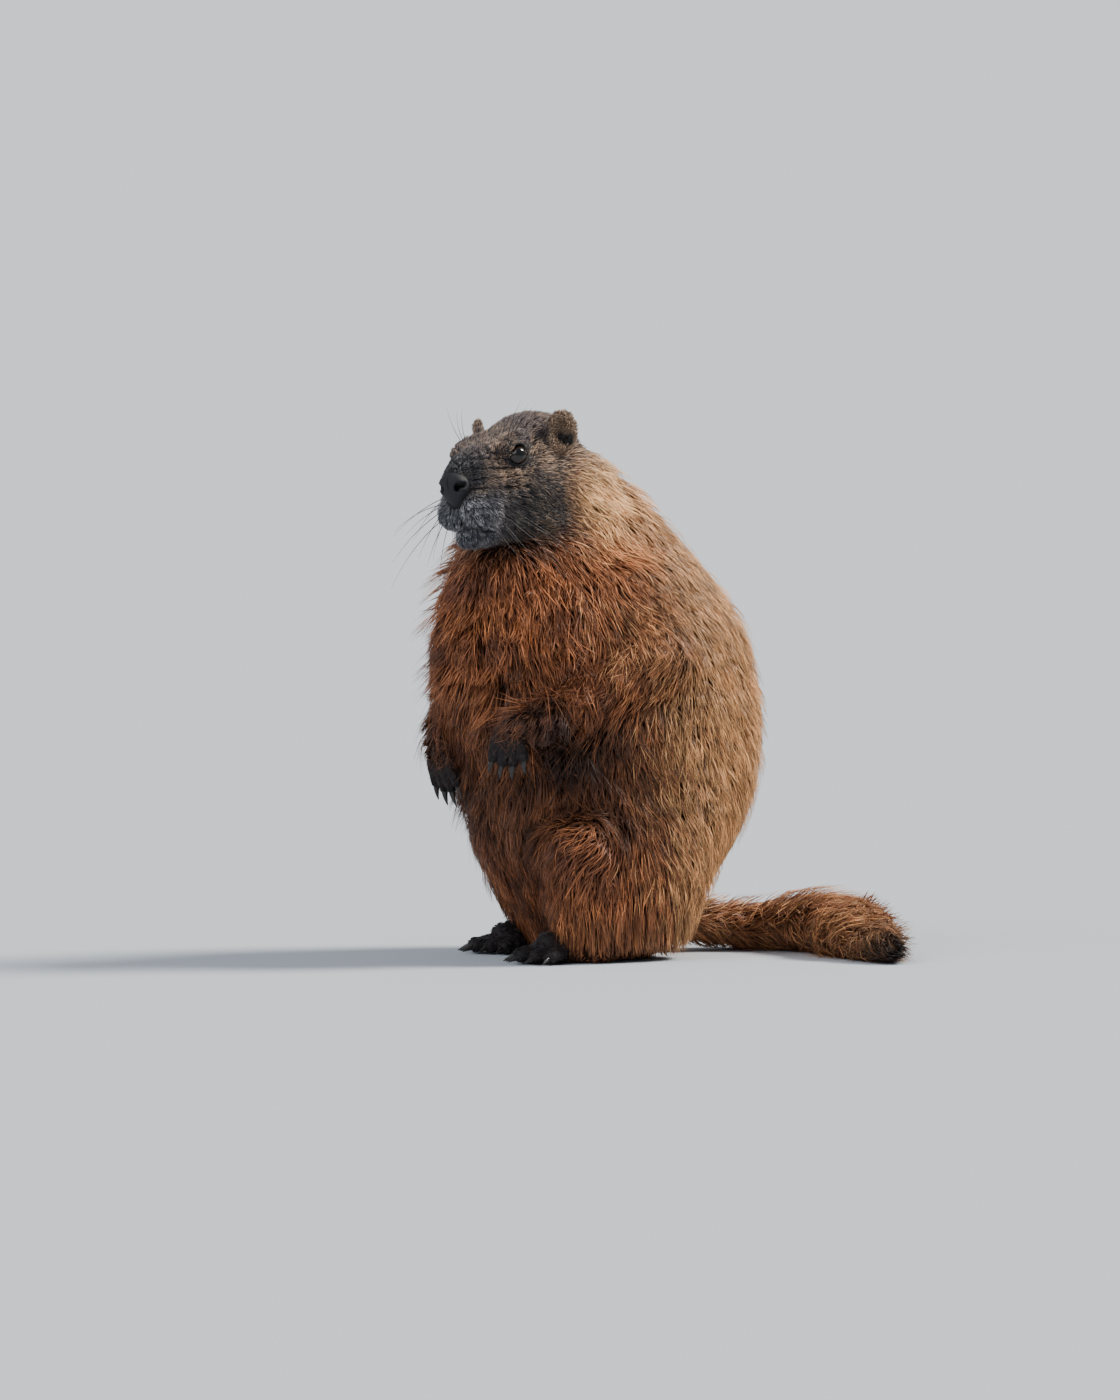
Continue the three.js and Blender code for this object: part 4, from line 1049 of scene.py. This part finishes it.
GROUPS = ["coat_trunk", "coat_head", "coat_arms", "coat_paws", "coat_legs", "coat_paws", "coat_tail"]
scale = min(1.0, BUDGET / sum(expected_tufts(coat)[1] for coat in (UNDER, GUARD)))
grown = {}
for coat in (UNDER, GUARD):
    for name, sections, made in grow(coat, scale):
        grown.setdefault((name, sections), []).append(made)
pieces = []
for (name, sections), made in grown.items():
    points, tints, places = (np.concatenate([m[k] for m in made]) for k in range(3))
    shape = blade_faces(sections)
    order = np.argsort(points[:, 0, 2])
    parts = -(-len(points) * len(shape) // 190000)
    for part, chunk in enumerate(np.array_split(order, parts)):
        tris = (shape[None] + points.shape[1] * np.arange(len(chunk))[:, None, None]).reshape(-1, 3)
        corner_uv = places[chunk][:, shape.ravel()].reshape(-1, 2)
        pieces.append(new_mesh(f"{name}_{part + 1}", points[chunk].reshape(-1, 3), tris,
                               tints[chunk].reshape(-1, 3), corner_uv))
tufts = sum(len(m[0]) for made in grown.values() for m in made)
coat_triangles = sum(len(p.data.polygons) for p in pieces)
print(f"density x {scale:.2f}: {tufts} tufts, {coat_triangles} triangles in {len(pieces)} pieces, at most",
      max(len(p.data.polygons) for p in pieces))

# %% [markdown]
# Eyes, nose, claws and whiskers are hard or bare things, so each is a piece of its own. All are grids bent by
# a formula: a ball with a slight bulge for the eye, a ball pushed out to the nose's form, and tubes that
# taper along a curve.

# %% Eyes
def ball_grid(rings, sides):
    """Unit ball as a grid: rings from pole to pole, closed by one point at each end."""
    t = np.linspace(0, np.pi, rings + 1)[1:-1]
    a = np.arange(sides) * 2 * np.pi / sides
    body = np.stack([np.sin(t)[:, None] * np.cos(a), np.sin(t)[:, None] * np.sin(a),
                     np.cos(t)[:, None] * np.ones_like(a)], -1).reshape(-1, 3)
    points = np.concatenate([[(0, 0, 1.)], body, [(0, 0, -1.)]])
    i = np.arange(sides)
    j = (i + 1) % sides
    faces = [np.stack([0 * i, 1 + i, 1 + j], 1)]
    for r in range(rings - 2):
        a0, b0 = 1 + r * sides, 1 + (r + 1) * sides
        faces += [np.stack([a0 + i, b0 + i, b0 + j], 1), np.stack([a0 + i, b0 + j, a0 + j], 1)]
    last = 1 + (rings - 2) * sides
    faces.append(np.stack([last + i, 0 * i + len(points) - 1, last + j], 1))
    return points, np.concatenate(faces)


def frame_along(axis):
    """Two directions square to axis."""
    first = unit(np.cross(axis, (0.0, 0.0, 1.0) if abs(axis[2]) < 0.9 else (0.0, 1.0, 0.0)))
    return first, np.cross(axis, first)


eyes = {}
for s, name in ((1, "eye_left"), (-1, "eye_right")):
    unit_ball, ball_faces = ball_grid(28, 40)
    look = EYE_LOOK[s]
    first, second = frame_along(look)
    bulge = 1 + 0.05 * smooth_step(0.75, 0.95, unit_ball[:, 2])
    points = (unit_ball * bulge[:, None]) @ np.stack([first, second, look])
    points = points * (EYE_RADIUS - 0.05) + EYE_PLACES[s]
    iris = smooth_step(0.66, 0.72, unit_ball[:, 2])
    pupil = smooth_step(0.86, 0.9, unit_ball[:, 2])
    tint = mix(mix(BLACK * 0.5, colour(30, 18, 11), iris), BLACK * 0.2, pupil)
    eyes[name] = new_mesh("ball_" + name, points, ball_faces, tint)
print("eyes look", {k: np.round(EYE_LOOK[s], 2).tolist() for k, s in (("left", 1), ("right", -1))})

# %% Nose
def nose_form(p):
    """Leather of the nose: its bulk, less the nostrils and a thin middle furrow."""
    h = in_head(p)
    furrow = np.maximum(np.abs(h[:, 1]) - 0.15, 76.4 - h[:, 0])
    return soft_max(soft_max(nose_bulk(p), -nostrils(p), 1.2), -furrow, 0.9)


unit_ball, ball_faces = ball_grid(56, 80)
ways = unit_ball @ np.stack([*frame_along(FORWARD), FORWARD])
nose_points = ray_out(nose_form, head_point(69, 0, -28.5), ways, far=16.0)
# painted shade: the leather inside the nostrils is painted near black
nostril_shaded_nose_tint = mix(colour(26, 25, 29), BLACK * 0.2, smooth_step(0.6, -0.2, nostrils(nose_points)))
nose = new_mesh("nose_leather", nose_points, ball_faces, nostril_shaded_nose_tint)

# %% Claws and whiskers
def tube(path, radii, sides, flat=1.0):
    """Round tube along a path, closed at both ends: ring k is radii[k] wide and flat times that high."""
    path = np.asarray(path, float)
    along = unit(np.gradient(path, axis=0))
    first = unit(np.cross(along, np.array([0.12, 0.2, 1.0])))
    second = np.cross(along, first)
    a = np.arange(sides) * 2 * np.pi / sides
    rings = (path[:, None] + np.asarray(radii)[:, None, None]
             * (np.cos(a)[:, None] * first[:, None] + flat * np.sin(a)[:, None] * second[:, None]))
    points = np.concatenate([rings.reshape(-1, 3), path[:1], path[-1:]])
    i = np.arange(sides)
    j = (i + 1) % sides
    faces = [np.stack([0 * i + len(points) - 2, j, i], 1)]
    for r in range(len(path) - 1):
        a0, b0 = r * sides, (r + 1) * sides
        faces += [np.stack([a0 + i, a0 + j, b0 + j], 1), np.stack([a0 + i, b0 + j, b0 + i], 1)]
    last = (len(path) - 1) * sides
    faces.append(np.stack([0 * i + len(points) - 1, last + i, last + j], 1))
    return points, np.concatenate(faces)


def join(meshes):
    """Several meshes as one."""
    offset = np.cumsum([0] + [len(p) for p, _ in meshes[:-1]])
    faces = np.concatenate([f + o for (_, f), o in zip(meshes, offset)])
    return np.concatenate([p for p, _ in meshes]), faces


CLAW_SUNK, CLAW_RADIUS = 2.5, 2.1


def claw(base, tip, turn, length, bend):
    """A claw from inside the end of a digit, turned a little from its line and bent to a blunt point."""
    way = unit(unit(tip - base) + turn)
    t = np.linspace(0, 1, 12)[:, None]
    path = tip + way * (-CLAW_SUNK + (length + CLAW_SUNK) * t) + np.array(bend) * length * t ** 2
    return tube(path, CLAW_RADIUS * (1 - t[:, 0] ** 1.5 * 0.9), 10, 1.2)


claws = {}
for arm in ARMS:
    fingers = finger_lines(arm)
    claws["fore", arm["side"]] = join([claw(*line, (0, -0.3, 0), 10.5, (0, 0.36, 0)) for line in fingers])
for leg in LEGS:
    claws["hind", leg["side"]] = join([claw(*line, (0, 0, 0.1), 10, (0, 0, -0.3)) for line in toe_lines(leg)])
claw_pieces = {}
for (end, side_name), (points, claw_faces) in claws.items():
    points[:, 2] = np.maximum(points[:, 2], 0.3)
    claw_pieces[end, side_name] = new_mesh(f"claws_{end}_{side_name}", points, claw_faces,
                                           np.tile(colour(38, 32, 29), (len(points), 1)))


CHEEK_HAIR = dict(rings=14, radius=0.30, sunk=1.5)
BROW_HAIR = dict(rings=12, radius=0.26, sunk=1.0)


def whisker(origin, way, out, reach, sag, swept, rings, radius, sunk):
    """A hair from where a ray from origin along `way` meets the skin; directions are the head's own.

    It leaves along `out`; with the square of the way along it, it sags and is swept back.
    """
    start = ray_out(lambda q: skull(q, 1.0), head_point(*origin), unit(np.array([way])) @ HEAD_FRAME)[0]
    out = unit(np.array(out)) @ HEAD_FRAME
    t = np.linspace(0, 1, rings)[:, None]
    path = start - out * sunk + out * reach * t
    path = path - (np.array([0, 0, 1.0]) * sag + FORWARD * swept) * t ** 2
    return tube(path, radius * (1 - 0.85 * t[:, 0]), 5)


whisker_meshes = []
for s in SIDES:
    for row in range(4):
        for k in range(4):
            way = (0.75 - 0.28 * k, s * (0.55 + 0.12 * k), 0.42 - 0.27 * row)
            out = (0.35 - 0.42 * k, s, -0.15 - 0.22 * row + rng.normal(0, 0.12))
            reach = rng.uniform(30, 52)
            sag = reach * rng.uniform(0.1, 0.3)
            whisker_meshes.append(whisker((50, 8 * s, -40), way, out, reach, sag, 0.18 * reach, **CHEEK_HAIR))
    for k in range(3):
        way, out = (0.15 + 0.2 * k, s * 0.45, 0.9), (-0.25 + 0.25 * k, s * 0.5, 1.0)
        whisker_meshes.append(whisker((30, 12 * s, -12), way, out, rng.uniform(18, 30), 0, 8, **BROW_HAIR))
points, whisker_faces = join(whisker_meshes)
whiskers = new_mesh("whiskers", points, whisker_faces, np.tile(colour(40, 34, 32), (len(points), 1)))
print(len(whisker_meshes), "whiskers,", len(claws), "sets of claws")

# %% [markdown]
# Materials are written like sums. A small class holds a socket of the node tree and lets it be added to
# or multiplied, so a formula in code becomes the same formula in nodes.

# %% A little algebra for shader nodes
class Wire:
    """One output socket of a node tree, with + and * that add math nodes."""

    def __init__(self, tree, socket):
        self.tree, self.socket = tree, socket

    def node(self, kind, settings=None, **inputs):
        """A new node; its inputs are wires or values, given as i0, i1 or by_name with underscores."""
        made = self.tree.nodes.new(kind)
        for key, value in (settings or {}).items():
            setattr(made, key, value)
        for key, value in inputs.items():
            numbered = key[0] == "i" and key[1:].isdigit()
            socket = made.inputs[int(key[1:]) if numbered else key.replace("_", " ")]
            if isinstance(value, Wire):
                self.tree.links.new(value.socket, socket)
            else:
                socket.default_value = value
        return made

    def out(self, made, name=0):
        return Wire(self.tree, made.outputs[name])

    def math(self, operation, a, b=0.0):
        return self.out(self.node("ShaderNodeMath", {"operation": operation}, i0=a, i1=b))

    def __add__(self, other):
        return self.math("ADD", self, other)

    def __mul__(self, other):
        return self.math("MULTIPLY", self, other)


def material(name, rough, specular=0.5):
    """A material, its shader, and the wires of the mesh's tint and of the place that its colour is built on."""
    made = bpy.data.materials.new(name)
    made.use_nodes = True
    tree = made.node_tree
    shader = tree.nodes["Principled BSDF"]
    shader.inputs["Roughness"].default_value = rough
    shader.inputs["Specular IOR Level"].default_value = specular
    start = Wire(tree, None)
    tint = start.out(start.node("ShaderNodeAttribute", {"attribute_name": "tint"}), "Color")
    where = start.out(start.node("ShaderNodeTexCoord"), "Object")
    return made, shader, tint, where


def link(wire, shader, name):
    wire.tree.links.new(wire.socket, shader.inputs[name])


def noise(where, scale, detail=3.0, rough=0.6):
    made = where.node("ShaderNodeTexNoise", Vector=where, Scale=scale, Detail=detail, Roughness=rough)
    return where.out(made, 0)


def bumped(where, height, strength, distance):
    bump = where.node("ShaderNodeBump", Strength=strength, Distance=distance, Height=height)
    return where.out(bump, "Normal")


def scaled(tint, share):
    """The tint times a wire."""
    return tint.out(tint.node("ShaderNodeVectorMath", {"operation": "SCALE"}, i0=tint, Scale=share))


fur, shader, tint, where = material("fur", 0.42, 0.45)
link(scaled(tint, noise(where, 900.0, 2.0) * 0.5 + 0.75), shader, "Base Color")
short, shader, tint, where = material("short_fur", 0.62, 0.25)
link(scaled(tint, noise(where, 700.0) * 0.7 + 0.65), shader, "Base Color")
link(bumped(where, noise(where, 1500.0, 2.0), 0.5, 0.0006), shader, "Normal")
leather, shader, tint, where = material("nose_leather", 0.6, 0.3)
pebbles = where.out(where.node("ShaderNodeTexVoronoi", Vector=where, Scale=2200.0), "Distance")
link(bumped(where, pebbles, 0.5, 0.0003), shader, "Normal")
link(scaled(tint, pebbles * 0.6 + 0.7), shader, "Base Color")
horn, shader, tint, where = material("horn", 0.32, 0.5)
link(scaled(tint, noise(where, 600.0) * 0.8 + 0.3), shader, "Base Color")
glossy, shader, tint, where = material("eye", 0.14, 0.3)
shader.inputs["Coat Weight"].default_value = 0.35
shader.inputs["Coat Roughness"].default_value = 0.02
link(tint, shader, "Base Color")
whisker_hair, shader, tint, where = material("whisker_hair", 0.4, 0.5)
link(tint, shader, "Base Color")

# %% Handing the pieces over
FLESH = ["head", "neck", "torso", "tail_root", "tail_brush"]
PAIRED = ("ear", "upper_arm", "forearm", "forepaw", "thigh", "shank", "hind_foot")
for side_name in ("left", "right"):
    FLESH += [f"{part}_{side_name}" for part in PAIRED]


def hand_over(piece, surface, slot_name, *nodes):
    piece.data.materials.append(surface)
    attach(piece, "root")
    if nodes:
        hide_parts(*nodes)


hand_over(skin, short, "rust_coat", *FLESH)
SLOTS = {"coat_trunk": "rust_coat", "coat_head": "face_coat", "coat_arms": "rust_coat", "coat_paws": "paw_skin",
         "coat_legs": "rust_coat", "coat_tail": "tail_coat"}
for piece in pieces:
    hand_over(piece, fur, SLOTS[piece.name.rsplit("_", 1)[0]])
for node, piece in eyes.items():
    hand_over(piece, glossy, "eye_gloss", node)
hand_over(nose, leather, "nose_skin", "nose")
for (end, side_name), piece in claw_pieces.items():
    stem, number_of = ("foreclaw", 4) if end == "fore" else ("hind_claw", 5)
    hand_over(piece, horn, "claw_horn", *[f"{stem}_{side_name}_{i + 1}" for i in range(number_of)])
hand_over(whiskers, whisker_hair, "claw_horn")

# %% [markdown]
# The studio is plain: a pale floor that runs on past the picture, a broad soft sun from the upper right,
# which catches the tips of the coat on neck and back, a weak one from the left and an even sky. The camera
# stands far off with a long lens, as for a shy animal.

# %% Floor, lights and camera
FLOOR_SIZE = 300.0
floor_mesh = bpy.data.meshes.new("floor")
corners = [(x * FLOOR_SIZE, y * FLOOR_SIZE, 0) for x, y in ((-1, -1), (1, -1), (1, 1), (-1, 1))]
floor_mesh.from_pydata(corners, [], [(0, 1, 2, 3)])
floor = bpy.data.objects.new("floor", floor_mesh)
bpy.context.scene.collection.objects.link(floor)
floor_paint = bpy.data.materials.new("floor_paint")
floor_paint.use_nodes = True
floor_paint.node_tree.nodes["Principled BSDF"].inputs["Base Color"].default_value = (0.46, 0.49, 0.53, 1)
floor_paint.node_tree.nodes["Principled BSDF"].inputs["Roughness"].default_value = 0.85
floor_mesh.materials.append(floor_paint)
world = bpy.data.worlds.new("studio")
world.use_nodes = True
world.node_tree.nodes["Background"].inputs["Color"].default_value = (0.80, 0.86, 0.95, 1)
world.node_tree.nodes["Background"].inputs["Strength"].default_value = 0.52
bpy.context.scene.world = world
AZIMUTH, RISE, AWAY = np.radians(55.0), np.radians(3.0), 9.0
SENSOR, FRAMED = 36.0, 0.868
AIM_RIGHT, AIM_UP = -18.6, 158
to_camera = np.array([np.sin(AZIMUTH) * np.cos(RISE), -np.cos(AZIMUTH) * np.cos(RISE), np.sin(RISE)])
picture_right = np.array([np.cos(AZIMUTH), np.sin(AZIMUTH), 0.0])
picture_up = np.cross(picture_right, -to_camera)
middle = (picture_right * AIM_RIGHT + picture_up * AIM_UP + SHIFT * (1, 1, 0)) * MM


def aimed(thing, place, at):
    """Places a thing and turns its -Z towards a point."""
    thing.location = place
    way = Vector(np.asarray(at, float) - np.asarray(place, float))
    thing.rotation_euler = way.to_track_quat("-Z", "Y").to_euler()


def soft_sun(name, where_from, strength, softness, tone):
    data = bpy.data.lights.new(name, "SUN")
    data.energy, data.angle, data.color = strength, np.radians(softness), tone
    light = bpy.data.objects.new(name, data)
    bpy.context.scene.collection.objects.link(light)
    aimed(light, where_from, (0, 0, 0))
    return light


soft_sun("key", to_camera * -0.2 + picture_right * 1.2 + picture_up * 1.2, 6.0, 18, (1.0, 0.95, 0.88))
soft_sun("fill", to_camera * 0.9 - picture_right * 0.9 + picture_up, 1.8, 50, (0.93, 0.96, 1.0))
camera_data = bpy.data.cameras.new("camera")
camera_data.lens = SENSOR * AWAY / FRAMED
camera_data.clip_end = 2000
camera = bpy.data.objects.new("camera", camera_data)
bpy.context.scene.collection.objects.link(camera)
aimed(camera, middle + to_camera * AWAY, middle)
bpy.context.scene.camera = camera
bpy.context.scene.view_settings.view_transform = "AgX"
print("camera at", np.round(camera.location, 3), "lens", round(camera_data.lens, 1))
